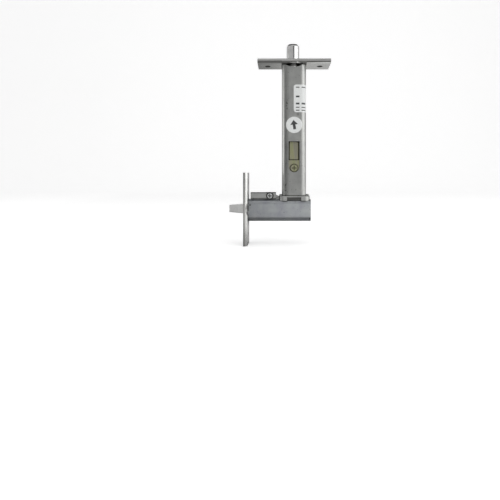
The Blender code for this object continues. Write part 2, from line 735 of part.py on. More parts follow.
def foot_rivet_places():
    half = FOOT_RIVET_SPREAD / 2
    left = TUBE_X - FOOT_LEFT + FOOT_RIVET_EDGE
    right = TUBE_X + FOOT_RIGHT - FOOT_RIVET_EDGE
    return [(x, y) for x in (left, right) for y in (-half, half)]


def make_tube_foot():
    bottom = CASE_TOP - FOOT_SKIRT
    width = FOOT_LEFT + FOOT_RIGHT
    middle_x = TUBE_X + (FOOT_RIGHT - FOOT_LEFT) / 2
    outline = rounded_rectangle(width, FOOT_DEPTH, FOOT_CORNER)
    foot = extruded(
        "tube_foot", [outline], FOOT_TOP - bottom, (middle_x, 0, (FOOT_TOP + bottom) / 2), "Z",
        "zinc_plate",
    )
    bevel(foot, FOOT_BEVEL, 60)
    left = TUBE_X - FOOT_LEFT
    base = CASE_TOP + GAP
    ramp_outline = [
        (left - FOOT_RAMP_LENGTH, base), (left + FOOT_CORNER, base),
        (left + FOOT_CORNER, base + FOOT_RAMP_HEIGHT), (left, base + FOOT_RAMP_HEIGHT),
        (left - FOOT_RAMP_LENGTH, base + FOOT_RAMP_TIP),
    ]
    ramp_depth = FOOT_DEPTH - 2 * FOOT_CORNER
    join(foot, extruded("foot_ramp", [ramp_outline], ramp_depth, (0, 0, 0), "Y"))
    case_form = extruded(
        "foot_case_form", [case_outline(GAP)], CASE_LENGTH,
        ((CASE_START + CASE_END) / 2, 0, CASE_MIDDLE), "X",
    )
    bore = extruded(
        "foot_bore", [tube_outline(-TUBE_WALL)], FOOT_TOP, (0, 0, FOOT_TOP), "Z"
    )
    crank_slot = box(
        "foot_crank_slot",
        (left - FOOT_RAMP_LENGTH - OVERCUT, -CRANK_SLOT / 2, 0),
        (BOLT_X, CRANK_SLOT / 2, FOOT_TOP + OVERCUT),
    )
    notch_top = CASE_TOP + GAP + FOOT_NOTCH_HEIGHT
    cut(foot, case_form, bore, crank_slot)
    for name, side in (("front", -1), ("back", 1)):
        near, far = sorted((
            side * (FOOT_DEPTH / 2 - FOOT_NOTCH_SINK), side * (FOOT_DEPTH / 2 + OVERCUT)
        ))
        cut(foot, box(
            f"foot_notch_{name}",
            (TUBE_X - FOOT_NOTCH_WIDTH / 2, near, bottom - OVERCUT),
            (TUBE_X + FOOT_NOTCH_WIDTH / 2, far, notch_top),
        ))
    for index, (x, y) in enumerate(foot_rivet_places()):
        hole = rod(
            f"foot_rivet_hole_{index + 1}", FOOT_RIVET_SHANK / 2 + GAP, 0, FOOT_TOP + OVERCUT,
            (x, y), "Z",
        )
        cut(foot, hole)
        make_foot_rivet(index, x, y)


def make_foot_rivet(index, x, y):
    head, shank = FOOT_RIVET_HEAD / 2, FOOT_RIVET_SHANK / 2
    top, under = FOOT_TOP + GAP + FOOT_RIVET_HEAD_HEIGHT, FOOT_TOP + GAP
    tail = CASE_INNER_TOP - GAP
    profile = [
        (0, top), (FOOT_RIVET_FLAT, top), (head, top - FOOT_RIVET_CROWN), (head, under), (shank, under),
        (shank, tail), (0, tail),
    ]
    turned(f"foot_rivet_{index + 1}", profile, (x, y, 0), "Z", "zinc_plate", steps=RIVET_STEPS)


def make_guide_plate():
    middle = (TUBE_X, 0, GUIDE_PLATE_TOP - PLATE_THICKNESS / 2)
    plate = bevelled_plate("guide_plate", 1, "X", middle)
    hole = extruded(
        "guide_hole", [circle(BOLT_DIAMETER / 2 + GAP, (-TUBE_OFFSET, 0))],
        PLATE_THICKNESS + 2 * OVERCUT, middle, "Z",
    )
    cut(plate, hole)
    for name, sign in (("left", -1), ("right", 1)):
        wall_middle = TUBE_X + sign * (TUBE_WIDTH - TUBE_WALL) / 2
        half_wall = TUBE_WALL / 2 + GAP
        pocket = box(
            f"tube_pocket_{name}",
            (wall_middle - half_wall, -TUBE_TAB_WIDTH / 2 - GAP, GUIDE_PLATE_BACK - OVERCUT),
            (wall_middle + half_wall, TUBE_TAB_WIDTH / 2 + GAP, TUBE_TOP + TUBE_TAB_LENGTH + GAP),
        )
        cut(plate, pocket)


def make_guides():
    bush_top = TUBE_TOP - GUIDE_BUSH_DROP
    inside = tube_outline(-TUBE_WALL - GAP)
    extruded(
        "guide_bush", [inside, circle(BOLT_DIAMETER / 2 + GAP, (BOLT_X, 0))], GUIDE_BUSH_LENGTH,
        (0, 0, bush_top - GUIDE_BUSH_LENGTH / 2), "Z", "cast_zinc",
    )
    extruded(
        "rod_guide", [inside, circle(ROD_DIAMETER / 2 + GAP, (BOLT_X, 0))], ROD_GUIDE_LENGTH,
        (0, 0, ROD_GUIDE_BOTTOM + ROD_GUIDE_LENGTH / 2), "Z", "cast_zinc",
    )


def make_case_plug():
    inside = case_outline(-CASE_WALL - GAP)
    middle = PLUG_LEFT + PLUG_THICKNESS / 2
    plug = extruded(
        "case_end_plug", [inside], PLUG_THICKNESS, (middle, 0, CASE_MIDDLE), "X", "cast_zinc"
    )
    spigot = rod(
        "plug_spigot", (SPRING_DIAMETER - SPRING_WIRE) / 2 - GAP, PLUG_LEFT - PLUG_SPIGOT_LENGTH,
        PLUG_LEFT + OVERCUT, (0, SPRING_HEIGHT), "X",
    )
    join(plug, spigot)


def make_return_spring():
    """An open coil along X, from the seat bored in the trigger bar to the end plug."""
    start = BAR_RIGHT - SPRING_SEAT_DEPTH + GAP + SPRING_WIRE / 2
    end = PLUG_LEFT - GAP - SPRING_WIRE / 2
    curve = bpy.data.curves.new("trigger_spring", "CURVE")
    curve.dimensions = "3D"
    curve.bevel_depth = SPRING_WIRE / 2
    curve.bevel_resolution = 2
    curve.use_fill_caps = True
    steps_per_turn = 14
    count = SPRING_TURNS * steps_per_turn
    spline = curve.splines.new("POLY")
    spline.points.add(count)
    for i, point in enumerate(spline.points):
        angle = math.tau * i / steps_per_turn
        radius = SPRING_DIAMETER / 2
        place_x = start + (end - start) * i / count
        point.co = (place_x, radius * math.cos(angle), radius * math.sin(angle), 1)
    obj = bpy.data.objects.new("trigger_spring", curve)
    obj.location = (0, 0, SPRING_HEIGHT)
    finish(obj, "spring_steel")


def make_trigger():
    """The nose is a loft from its root in the plate to its narrower tip."""
    mesh = bpy.data.meshes.new("trigger")
    nose = bmesh.new()
    bmesh.ops.create_cube(nose, size=1.0)
    root_x, tip_x = CASE_START, -PLATE_THICKNESS - TRIGGER_REACH
    knee_x = tip_x + TRIGGER_BEVEL_LENGTH
    knee_height = TRIGGER_TIP_HEIGHT + (TRIGGER_HEIGHT - TRIGGER_TIP_HEIGHT) * (
        TRIGGER_BEVEL_LENGTH / TRIGGER_REACH
    )
    bmesh.ops.bisect_plane(
        nose, geom=nose.verts[:] + nose.edges[:] + nose.faces[:], plane_co=(0, 0, 0),
        plane_no=(1, 0, 0),
    )
    bmesh.ops.bisect_plane(
        nose, geom=nose.verts[:] + nose.edges[:] + nose.faces[:], plane_co=(0.25, 0, 0),
        plane_no=(1, 0, 0),
    )
    stations = {
        -0.5: (tip_x, TRIGGER_TIP_DEPTH, TRIGGER_TIP_HEIGHT),
        0.0: (knee_x, TRIGGER_DEPTH, knee_height),
        0.25: (-PLATE_THICKNESS, TRIGGER_DEPTH, TRIGGER_HEIGHT),
        0.5: (root_x, TRIGGER_DEPTH, TRIGGER_HEIGHT),
    }
    for vert in nose.verts:
        x, depth, height = stations[round(vert.co.x, 3)]
        vert.co = (x, vert.co.y * depth, vert.co.z * height)
    nose.to_mesh(mesh)
    nose.free()
    obj = bpy.data.objects.new("trigger", mesh)
    finish(obj, "cast_zinc", TRIGGER_BODY)
    bevel(obj, TRIGGER_ROUNDING, 20)
    tenon = box(
        "trigger_tenon",
        (CASE_START - 2 * OVERCUT, -TRIGGER_TENON_DEPTH / 2, -TRIGGER_TENON_HEIGHT / 2),
        (CASE_START + TRIGGER_TENON_LENGTH, TRIGGER_TENON_DEPTH / 2, TRIGGER_TENON_HEIGHT / 2),
        None,
        TRIGGER_BODY,
    )
    join(obj, tenon)
    pin_x = CASE_START + TRIGGER_PIN_PLACE
    pin_hole = rod(
        "tenon_pin_hole", TRIGGER_PIN_DIAMETER / 2 + GAP, -CASE_DEPTH, CASE_DEPTH, (pin_x, 0), "Y",
        None, TRIGGER_BODY,
    )
    cut(obj, pin_hole)
    return pin_x


def make_trigger_bar(pin_x):
    """The bar slides in the case. Its forked end takes the crank's drive pin."""
    left = CASE_START + GAP
    half_depth = CASE_INNER_DEPTH / 2 - GAP
    bottom = CASE_FLOOR + GAP
    outline = rounded_rectangle(
        2 * half_depth, BAR_TOP - bottom, CASE_CORNER - CASE_WALL, steps=3
    )
    bar = extruded(
        "trigger_bar", [outline], BAR_RIGHT - left,
        ((left + BAR_RIGHT) / 2, 0, (BAR_TOP + bottom) / 2), "X", "cast_zinc", TRIGGER_BODY,
    )
    mortise = box(
        "bar_mortise",
        (left - OVERCUT, -TRIGGER_TENON_DEPTH / 2 - GAP, -TRIGGER_TENON_HEIGHT / 2 - GAP),
        (
            CASE_START + TRIGGER_TENON_LENGTH + GAP,
            TRIGGER_TENON_DEPTH / 2 + GAP,
            TRIGGER_TENON_HEIGHT / 2 + GAP,
        ),
        None,
        TRIGGER_BODY,
    )
    pin_hole = rod(
        "bar_pin_hole", TRIGGER_PIN_DIAMETER / 2 + GAP, -CASE_DEPTH, CASE_DEPTH, (pin_x, 0), "Y",
        None, TRIGGER_BODY,
    )
    slot_bottom = PIVOT_HEIGHT - TRIGGER_ARM - LEVER_END - 3 * GAP
    groove = box(
        "bar_lever_groove",
        (DRIVE_PIN_X - BAR_LEVER_ROOM, -CRANK_SLOT / 2, slot_bottom),
        (BAR_RIGHT + OVERCUT, CRANK_SLOT / 2, BAR_TOP + OVERCUT),
        None,
        TRIGGER_BODY,
    )
    pin_half = CRANK_PIN_DIAMETER / 2 + GAP
    pin_bottom = PIVOT_HEIGHT - TRIGGER_ARM - pin_half
    pin_slot = box(
        "bar_pin_slot",
        (DRIVE_PIN_X - pin_half, -half_depth - OVERCUT, pin_bottom),
        (DRIVE_PIN_X + pin_half, half_depth + OVERCUT, BAR_TOP + OVERCUT),
        None,
        TRIGGER_BODY,
    )
    seat = rod(
        "bar_spring_seat", SPRING_DIAMETER / 2 + SPRING_WIRE / 2 + GAP, BAR_RIGHT - SPRING_SEAT_DEPTH,
        BAR_RIGHT + OVERCUT, (0, SPRING_HEIGHT), "X", None, TRIGGER_BODY,
    )
    cut(bar, mortise, pin_hole, groove, pin_slot, seat)
    rod(
        "trigger_pin", TRIGGER_PIN_DIAMETER / 2, -half_depth + GAP, half_depth - GAP, (pin_x, 0), "Y",
        "spring_steel", TRIGGER_BODY,
    )


def tapered_arm(start, start_radius, end, end_radius):
    """Outline of a lever arm: two round ends joined by their outer tangents."""
    dx, dz = end[0] - start[0], end[1] - start[1]
    length = math.hypot(dx, dz)
    heading = math.atan2(dz, dx)
    lean = math.acos((start_radius - end_radius) / length)
    points = arc(start, start_radius, heading + lean, heading - lean + math.tau, 2 * CORNER_STEPS)
    points += arc(end, end_radius, heading - lean, heading + lean, 2 * CORNER_STEPS)
    return points


def make_crank():
    """Bell crank: the lower arm takes the trigger's push and the long arm lifts the bolt slide."""
    pivot = (0.0, 0.0)
    lift = (LIFT_PIN_X - PIVOT_X, LIFT_PIN_Z - PIVOT_HEIGHT)
    drive = (DRIVE_PIN_X - PIVOT_X, DRIVE_PIN_Z - PIVOT_HEIGHT)
    centre = (PIVOT_X, 0, PIVOT_HEIGHT)
    lever = extruded(
        "crank_lever", [tapered_arm(pivot, LEVER_HUB, lift, LEVER_END)], LEVER_THICKNESS, centre, "Y",
        "zinc_plate", CRANK_BODY,
    )
    lower_arm = extruded(
        "crank_lower_arm", [tapered_arm(pivot, LEVER_HUB, drive, LEVER_END)], LEVER_THICKNESS,
        centre, "Y", None, CRANK_BODY,
    )
    join(lever, lower_arm)
    half = LEVER_THICKNESS
    holes = (
        ("pivot", PIVOT_SHANK / 2 + GAP, (PIVOT_X, PIVOT_HEIGHT)),
        ("lift", CRANK_PIN_DIAMETER / 2 - CRANK_PIN_SHOULDER, (LIFT_PIN_X, LIFT_PIN_Z)),
        ("drive", CRANK_PIN_DIAMETER / 2 - CRANK_PIN_SHOULDER, (DRIVE_PIN_X, DRIVE_PIN_Z)),
    )
    for name, radius, spot in holes:
        cut(lever, rod(f"crank_{name}_hole", radius, -half, half, spot, "Y", None, CRANK_BODY))
    lift_end = TONGUE_DEPTH / 2 - GAP
    drive_end = CASE_INNER_DEPTH / 2 - 2 * GAP
    make_crank_pin("lift_pin", LIFT_PIN_X, LIFT_PIN_Z, lift_end)
    make_crank_pin("drive_pin", DRIVE_PIN_X, DRIVE_PIN_Z, drive_end)


def make_crank_pin(name, x, z, end):
    """A shouldered pin: its waist sits in the lever and its ends work in the forks."""
    radius = CRANK_PIN_DIAMETER / 2
    waist = radius - CRANK_PIN_SHOULDER - GAP
    shoulder = LEVER_THICKNESS / 2 + GAP
    profile = [
        (0, end), (radius, end), (radius, shoulder), (waist, shoulder), (waist, -shoulder),
        (radius, -shoulder), (radius, -end), (0, -end),
    ]
    turned(name, profile, (x, 0, z), "Y", "spring_steel", CRANK_BODY, steps=SMALL_STEPS)


def make_bolt_slide():
    """The slide carries the bolt. Its tongue hangs into the case and forks round the lift pin."""
    back = TUBE_DEPTH / 2 - TUBE_WALL - GAP
    depth = SLIDE_FRONT + back
    outline = rounded_rectangle(
        SLIDE_WIDTH, depth, SLIDE_EDGE, (BOLT_X, (back - SLIDE_FRONT) / 2), steps=2
    )
    slide = extruded(
        "bolt_slide", [outline], SLIDE_TOP - SLIDE_SHOULDER, (0, 0, (SLIDE_TOP + SLIDE_SHOULDER) / 2),
        "Z", "yellow_zinc", SLIDE_BODY,
    )
    tongue = box(
        "slide_tongue",
        (BOLT_X - TONGUE_LEFT, -TONGUE_DEPTH / 2, TONGUE_BOTTOM),
        (BOLT_X + TONGUE_RIGHT, TONGUE_DEPTH / 2, SLIDE_SHOULDER + OVERCUT),
        None,
        SLIDE_BODY,
    )
    join(slide, tongue)
    bore = rod(
        "slide_bore", ROD_DIAMETER / 2 + GAP, SLIDE_BORE_BOTTOM, SLIDE_TOP + OVERCUT, (BOLT_X, 0),
        "Z", None, SLIDE_BODY,
    )
    groove = box(
        "slide_groove",
        (BOLT_X - TONGUE_LEFT - OVERCUT, -CRANK_SLOT / 2, TONGUE_BOTTOM - OVERCUT),
        (BOLT_X + LEVER_END + 2 * GAP, CRANK_SLOT / 2, FORK_GROOVE_TOP),
        None,
        SLIDE_BODY,
    )
    pin_half = CRANK_PIN_DIAMETER / 2 + GAP
    fork = box(
        "slide_fork",
        (BOLT_X - TONGUE_LEFT - OVERCUT, -TONGUE_DEPTH / 2 - OVERCUT, LIFT_PIN_Z - pin_half),
        (BOLT_X + pin_half, TONGUE_DEPTH / 2 + OVERCUT, LIFT_PIN_Z + pin_half),
        None,
        SLIDE_BODY,
    )
    screw_hole = rod(
        "slide_screw_hole", CLAMP_SCREW_SHANK / 2 + GAP, -SLIDE_FRONT - OVERCUT, 0,
        (TUBE_X, CLAMP_SCREW_HEIGHT), "Y", None, SLIDE_BODY,
    )
    front = -SLIDE_FRONT
    chamfer = extruded(
        "slide_chamfer",
        [[(front - OVERCUT, SLIDE_TOP - SLIDE_CHAMFER - OVERCUT),
          (front + SLIDE_CHAMFER + OVERCUT, SLIDE_TOP + OVERCUT),
          (front - OVERCUT, SLIDE_TOP + OVERCUT)]],
        2 * SLIDE_WIDTH, (BOLT_X, 0, 0), "X", None, SLIDE_BODY,
    )
    cut(slide, bore, groove, fork, screw_hole, chamfer)
    for name, side in (("left", -1), ("right", 1)):
        near, far = sorted((TUBE_X + side * SLIDE_RAIL_WIDTH / 2, TUBE_X + side * SLIDE_WIDTH))
        cut(slide, box(
            f"slide_relief_{name}",
            (near, front - OVERCUT, CLAMP_PLATE_TOP),
            (far, front + SLIDE_RAIL_DEPTH, SLIDE_TOP + OVERCUT),
            None,
            SLIDE_BODY,
        ))


def make_clamp():
    """The clamp plate, its screw and washer hold the bolt's rod in the slide."""
    back = -SLIDE_FRONT - GAP
    front = back - CLAMP_PLATE_THICKNESS
    height = CLAMP_PLATE_TOP - CLAMP_PLATE_BOTTOM
    middle_z = (CLAMP_PLATE_TOP + CLAMP_PLATE_BOTTOM) / 2
    outline = rounded_rectangle(CLAMP_PLATE_WIDTH, height, SLIDE_EDGE, steps=3)
    hole = circle(
        CLAMP_SCREW_SHANK / 2 + GAP, (0, CLAMP_SCREW_HEIGHT - middle_z), steps=SMALL_STEPS
    )
    plate = extruded(
        "clamp_plate", [outline, hole], CLAMP_PLATE_THICKNESS, (TUBE_X, (front + back) / 2, middle_z),
        "Y", "yellow_zinc", SLIDE_BODY,
    )
    bevel(plate, CLAMP_PLATE_BEVEL)
    washer_back = front - GAP
    washer_front = washer_back - CLAMP_WASHER_THICKNESS
    head, shank = CLAMP_SCREW_HEAD / 2, CLAMP_SCREW_SHANK / 2
    spot = (TUBE_X, CLAMP_SCREW_HEIGHT)
    ring(
        "clamp_washer", head, shank + GAP, washer_front, washer_back, spot, "Y", "zinc_plate",
        SLIDE_BODY,
    )
    head_back = washer_front - GAP
    head_front = head_back - CLAMP_SCREW_HEAD_HEIGHT
    end = ROD_DIAMETER / 2 + GAP
    edge = CLAMP_SCREW_EDGE
    profile = [
        (0, -head_front), (head - edge, -head_front), (head, -head_front - edge),
        (head, -head_back), (shank, -head_back), (shank, end), (0, end),
    ]
    screw = turned(
        "clamp_screw", profile, (TUBE_X, 0, CLAMP_SCREW_HEIGHT), "Y", "yellow_zinc", SLIDE_BODY,
    )
    recess = cross_recess(
        "clamp_recess", TUBE_X, head_front, CLAMP_SCREW_HEIGHT, CLAMP_RECESS_SPAN, CLAMP_RECESS_SINK,
    )
    cut(screw, recess)


def make_bolt():
    """The round bolt, hollow at its foot for the rod that a cross pin holds in it."""
    radius = BOLT_DIAMETER / 2
    bottom = BOLT_TIP - BOLT_LENGTH
    bore = ROD_DIAMETER / 2 + GAP
    edge = BOLT_FOOT_EDGE
    profile = [
        (0, BOLT_TIP), (radius - BOLT_CHAMFER_WIDTH, BOLT_TIP),
        (radius, BOLT_TIP - BOLT_CHAMFER_HEIGHT), (radius, bottom + edge), (radius - edge, bottom),
        (bore, bottom), (bore, bottom + BOLT_BORE_DEPTH), (0, bottom + BOLT_BORE_DEPTH),
    ]
    bolt = turned("bolt_head", profile, (BOLT_X, 0, 0), "Z", "polished_steel", BOLT_BODY)
    shaft = rod(
        "bolt_rod", ROD_DIAMETER / 2, ROD_BOTTOM, bottom + BOLT_BORE_DEPTH - GAP, (BOLT_X, 0), "Z",
        "polished_steel", BOLT_BODY, ROD_CHAMFER,
    )
    pin_z = bottom + ROD_PIN_HEIGHT
    pin_hole = rod(
        "rod_pin_hole", ROD_PIN_DIAMETER / 2 + GAP, -BOLT_DIAMETER, BOLT_DIAMETER, (BOLT_X, pin_z),
        "Y", None, BOLT_BODY,
    )
    cut(bolt, pin_hole)
    cut(shaft, pin_hole)
    reach = radius - 2 * GAP
    rod("rod_pin", ROD_PIN_DIAMETER / 2, -reach, reach, (BOLT_X, pin_z), "Y", "spring_steel",
        BOLT_BODY)


def build():
    make_face_plate()
    make_trigger_case()
    make_case_plug()
    make_crank_bracket()
    make_pivot()
    make_tube_foot()
    make_bolt_tube()
    make_guide_plate()
    make_guides()
    make_return_spring()
    make_trigger_bar(make_trigger())
    make_crank()
    make_bolt_slide()
    make_clamp()
    make_bolt()


build()
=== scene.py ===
# %% [markdown]
# # An automatic flush bolt for a wood door
# The lock's pieces come from a finished model at real size. This lesson dresses them: each metal
# gets its own plating or machining marks, two paper stickers are wrapped round the tube, and a
# small studio lights the piece from the photograph's viewpoint.

# %% Load the model
import json
import math

import bmesh
import bpy
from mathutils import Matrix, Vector


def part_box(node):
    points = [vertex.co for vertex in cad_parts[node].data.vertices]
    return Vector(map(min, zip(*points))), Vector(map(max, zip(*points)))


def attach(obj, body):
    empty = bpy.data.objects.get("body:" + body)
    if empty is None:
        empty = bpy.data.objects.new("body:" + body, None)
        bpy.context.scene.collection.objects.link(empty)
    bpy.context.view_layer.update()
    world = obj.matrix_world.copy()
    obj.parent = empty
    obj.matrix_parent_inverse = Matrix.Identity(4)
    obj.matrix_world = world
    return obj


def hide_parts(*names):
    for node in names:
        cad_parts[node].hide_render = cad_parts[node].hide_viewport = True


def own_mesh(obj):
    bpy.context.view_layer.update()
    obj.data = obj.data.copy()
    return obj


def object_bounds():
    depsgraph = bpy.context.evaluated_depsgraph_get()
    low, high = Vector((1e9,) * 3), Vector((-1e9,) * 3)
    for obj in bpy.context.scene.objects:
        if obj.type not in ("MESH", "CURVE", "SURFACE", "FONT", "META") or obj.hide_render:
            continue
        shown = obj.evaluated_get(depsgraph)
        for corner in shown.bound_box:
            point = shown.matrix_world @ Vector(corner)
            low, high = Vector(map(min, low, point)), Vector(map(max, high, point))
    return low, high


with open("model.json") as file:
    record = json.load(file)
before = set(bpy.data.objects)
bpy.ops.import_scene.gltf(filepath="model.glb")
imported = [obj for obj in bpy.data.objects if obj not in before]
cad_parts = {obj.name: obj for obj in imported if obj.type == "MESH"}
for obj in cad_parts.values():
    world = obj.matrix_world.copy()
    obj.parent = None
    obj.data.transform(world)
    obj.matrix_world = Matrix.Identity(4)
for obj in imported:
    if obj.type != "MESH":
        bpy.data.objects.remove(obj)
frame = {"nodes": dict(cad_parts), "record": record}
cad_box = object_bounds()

MM = 0.001
print("pieces in the model:", len(frame["nodes"]))

# %% [markdown]
# ## Colours and nodes
# Colours are written as sRGB hex, the way a colour picker shows them, and a renderer works in
# linear light, so one function turns one into the other. Materials are node trees. Building them
# by hand takes three steps a node (add, set, link), so one small function does all three. Another
# puts a mesh, a lamp or a camera into the scene.

# %% Small helpers for colours and nodes
def linear(hex_colour):
    """sRGB hex such as #9a9d9c as a linear colour with alpha."""
    channels = [int(hex_colour[i:i + 2], 16) / 255 for i in (1, 3, 5)]
    turned = [c / 12.92 if c <= 0.04045 else ((c + 0.055) / 1.055) ** 2.4 for c in channels]
    return (*turned, 1.0)


def add_node(tree, kind, feeds=None, stops=(), **settings):
    """Add a node, set its properties, and feed its sockets with values or with other sockets.

    Stops are (position, sRGB hex) pairs for a node with a colour ramp.
    """
    made = tree.nodes.new("ShaderNode" + kind)
    for name, value in settings.items():
        setattr(made, name, value)
    for socket, value in (feeds or {}).items():
        if isinstance(value, bpy.types.NodeSocket):
            tree.links.new(value, made.inputs[socket])
        else:
            made.inputs[socket].default_value = value
    for i, (position, colour) in enumerate(stops):
        if i > 1:
            made.color_ramp.elements.new(1.0)
        made.color_ramp.elements[i].position = position
        made.color_ramp.elements[i].color = linear(colour)
    return made


def new_material(name, colour, metallic, roughness):
    """A material with one Principled shader, and its tree and shader to build on."""
    material = bpy.data.materials.new(name)
    material.use_nodes = True
    tree = material.node_tree
    shader = tree.nodes["Principled BSDF"]
    shader.inputs["Base Color"].default_value = linear(colour)
    shader.inputs["Metallic"].default_value = metallic
    shader.inputs["Roughness"].default_value = roughness
    return material, tree, shader


def per_metre(size_mm):
    """Scale of a texture whose features measure size_mm, for coordinates in metres."""
    return 1000 / size_mm


def put_in_scene(name, data):
    """A new object in the scene that shows this mesh, lamp or camera."""
    made = bpy.data.objects.new(name, data)
    bpy.context.scene.collection.objects.link(made)
    return made


# %% [markdown]
# ## The camera
# The photograph was taken from close by: both plates show their undersides. Measured in it, the
# plates shrink by about 6.5 % over their 25.4 mm depth, which puts the camera 378 mm away. The
# point that it looks straight at lies up and right of the picture's middle, so the lens is
# shifted and the camera isn't turned, and upright edges stay upright.

# %% Place the camera
CAMERA_DISTANCE = 378 * MM
CAMERA_ACROSS = 31.0 * MM
CAMERA_UP = 13.1 * MM
LENS_MM = 27.8
PICTURE_SIDE = 500
AXIS_PIXEL = (280, 175)

camera_data = bpy.data.cameras.new("camera")
camera_data.lens = LENS_MM
camera_data.shift_x = -(AXIS_PIXEL[0] - PICTURE_SIDE / 2) / PICTURE_SIDE
camera_data.shift_y = (AXIS_PIXEL[1] - PICTURE_SIDE / 2) / PICTURE_SIDE
camera_data.clip_start = 10 * MM
camera = put_in_scene("camera", camera_data)
camera.location = (CAMERA_ACROSS, -CAMERA_DISTANCE, CAMERA_UP)
camera.rotation_euler = (math.pi / 2, 0, 0)
bpy.context.scene.camera = camera
bpy.context.scene.view_settings.view_transform = "Standard"
print("camera shift:", round(camera_data.shift_x, 3), round(camera_data.shift_y, 3))

# %% [markdown]
# ## The studio
# Plating only looks like metal when it has something to reflect. White paper sweeps up behind the
# lock and the room in front stays grey. The paper reads as white because a little glow is added
# to it for camera and mirror rays only, so no extra light falls on the lock, and the paper still
# shows the lock's shadow.

# %% Build the sweep and the room
# the sweep's sizes are in metres
SWEEP_SIDE = 6.0
SWEEP_BACK = 1.6
SWEEP_RADIUS = 0.5
FLOOR_GAP = 0.2 * MM
PAPER_GLOW = 0.36
ROOM_GREY = 0.62


def make_sweep(floor_z):
    """Floor and back wall in one sheet, joined by a quarter round."""
    steps = 12
    profile = [(-SWEEP_SIDE / 2, floor_z)]
    for i in range(steps + 1):
        angle = math.pi / 2 * i / steps
        y = SWEEP_BACK - SWEEP_RADIUS + SWEEP_RADIUS * math.sin(angle)
        profile.append((y, floor_z + SWEEP_RADIUS * (1 - math.cos(angle))))
    profile.append((SWEEP_BACK, floor_z + SWEEP_SIDE / 2))
    sides = (-SWEEP_SIDE / 2, SWEEP_SIDE / 2)
    corners = [(x, y, z) for y, z in profile for x in sides]
    faces = [(2 * i, 2 * i + 1, 2 * i + 3, 2 * i + 2) for i in range(len(profile) - 1)]
    mesh = bpy.data.meshes.new("sweep")
    mesh.from_pydata(corners, [], faces)
    mesh.shade_smooth()
    return put_in_scene("sweep", mesh)


def background_rays(tree):
    """1 for the rays that should see the white background: camera, mirror and glass rays."""
    light_path = add_node(tree, "LightPath")
    mirrors = add_node(tree, "Math", {0: light_path.outputs["Is Glossy Ray"],
                                      1: light_path.outputs["Is Transmission Ray"]},
                       operation="MAXIMUM")
    return add_node(tree, "Math", {0: light_path.outputs["Is Camera Ray"],
                                   1: mirrors.outputs[0]}, operation="MAXIMUM").outputs[0]


def white_backdrop():
    """Matt white paper with a little glow for the camera and for mirrors."""
    material, tree, shader = new_material("white_paper_backdrop", "#f4f4f4",
                                          metallic=0.0, roughness=0.9)
    shader.inputs["Emission Color"].default_value = (1, 1, 1, 1)
    glow = add_node(tree, "Math", {0: background_rays(tree), 1: PAPER_GLOW},
                    operation="MULTIPLY")
    tree.links.new(glow.outputs[0], shader.inputs["Emission Strength"])
    return material


def grey_room():
    """The world: an even grey that fills the room."""
    world = bpy.data.worlds.new("studio")
    world.use_nodes = True
    world.node_tree.nodes["Background"].inputs["Color"].default_value = (ROOM_GREY,) * 3 + (1,)
    bpy.context.scene.world = world


lock_middle = (cad_box[0] + cad_box[1]) / 2
sweep = make_sweep(cad_box[0].z - FLOOR_GAP)
sweep.data.materials.append(white_backdrop())
grey_room()
print("floor at", round(cad_box[0].z, 4))

# %% [markdown]
# ### Lamps and flags
# One broad soft box on the right gives the white bands along the right hand edges, and a narrow
# one on the left closes the outline there. A large lamp above lights the paper. Flags are what
# makes plating look hard: photographers set up dark card where an edge should turn dark, and grey
# card where it should only dim. The flags show in the metal alone, and cast no shadow.

# %% Place the lamps and flags
# metres from the lock's middle to each soft box
BOX_AWAY = 0.9
LAMPS = {
    "right_soft_box": {"turn": 60, "rise": 5, "width": 1.04, "height": 0.8, "level": 1.8},
    "left_soft_box": {"turn": -88, "rise": 2, "width": 0.5, "height": 0.54, "level": 2.2},
    "top_soft_box": {"turn": 10, "rise": 66, "width": 0.9, "height": 0.6, "level": 0.8},
}


def area_lamp(name, turn, rise, width, height, level):
    """A soft box, by degrees right of the camera and up, sides in metres and brightness."""
    lamp = bpy.data.lights.new(name, "AREA")
    lamp.shape = "RECTANGLE"
    lamp.size = width
    lamp.size_y = height
    lamp.energy = level * math.pi * width * height
    obj = put_in_scene(name, lamp)
    turn, rise = math.radians(turn), math.radians(rise)
    toward = Vector((math.sin(turn) * math.cos(rise), -math.cos(turn) * math.cos(rise),
                     math.sin(rise)))
    obj.location = lock_middle + BOX_AWAY * toward
    obj.rotation_euler = (-toward).to_track_quat("-Z", "Y").to_euler()
    obj.visible_camera = False


def flag(name, card, corners):
    """A flat card that only mirror rays see, from its four corners in metres."""
    mesh = bpy.data.meshes.new(name)
    mesh.from_pydata(corners, [], [(0, 1, 2, 3)])
    mesh.materials.append(card)
    obj = put_in_scene(name, mesh)
    for ray in ("camera", "diffuse", "shadow", "transmission", "volume_scatter"):
        setattr(obj, "visible_" + ray, False)


dark_card = new_material("dark_card_flag", "#585859", metallic=0.0, roughness=0.8)[0]
grey_card = new_material("grey_card_flag", "#b4b4b4", metallic=0.0, roughness=0.8)[0]
floor_z = cad_box[0].z
for name, settings in LAMPS.items():
    area_lamp(name, **settings)
# Two dark flags stand behind the camera, one high on the right and one on the left. A third
# hangs above the lock.
flag("high_flag", dark_card, [(0.07, -0.7, 0.335), (0.38, -0.7, 0.335),
                              (0.38, -0.7, 0.46), (0.07, -0.7, 0.46)])
flag("left_flag", dark_card, [(-0.73, -0.35, -0.25), (-0.05, -0.83, -0.25),
                              (-0.05, -0.83, 0.24), (-0.73, -0.35, 0.24)])
flag("top_flag", dark_card, [(-0.4, -0.25, 0.55), (0.4, -0.25, 0.55),
                             (0.4, 0.3, 0.55), (-0.4, 0.3, 0.55)])
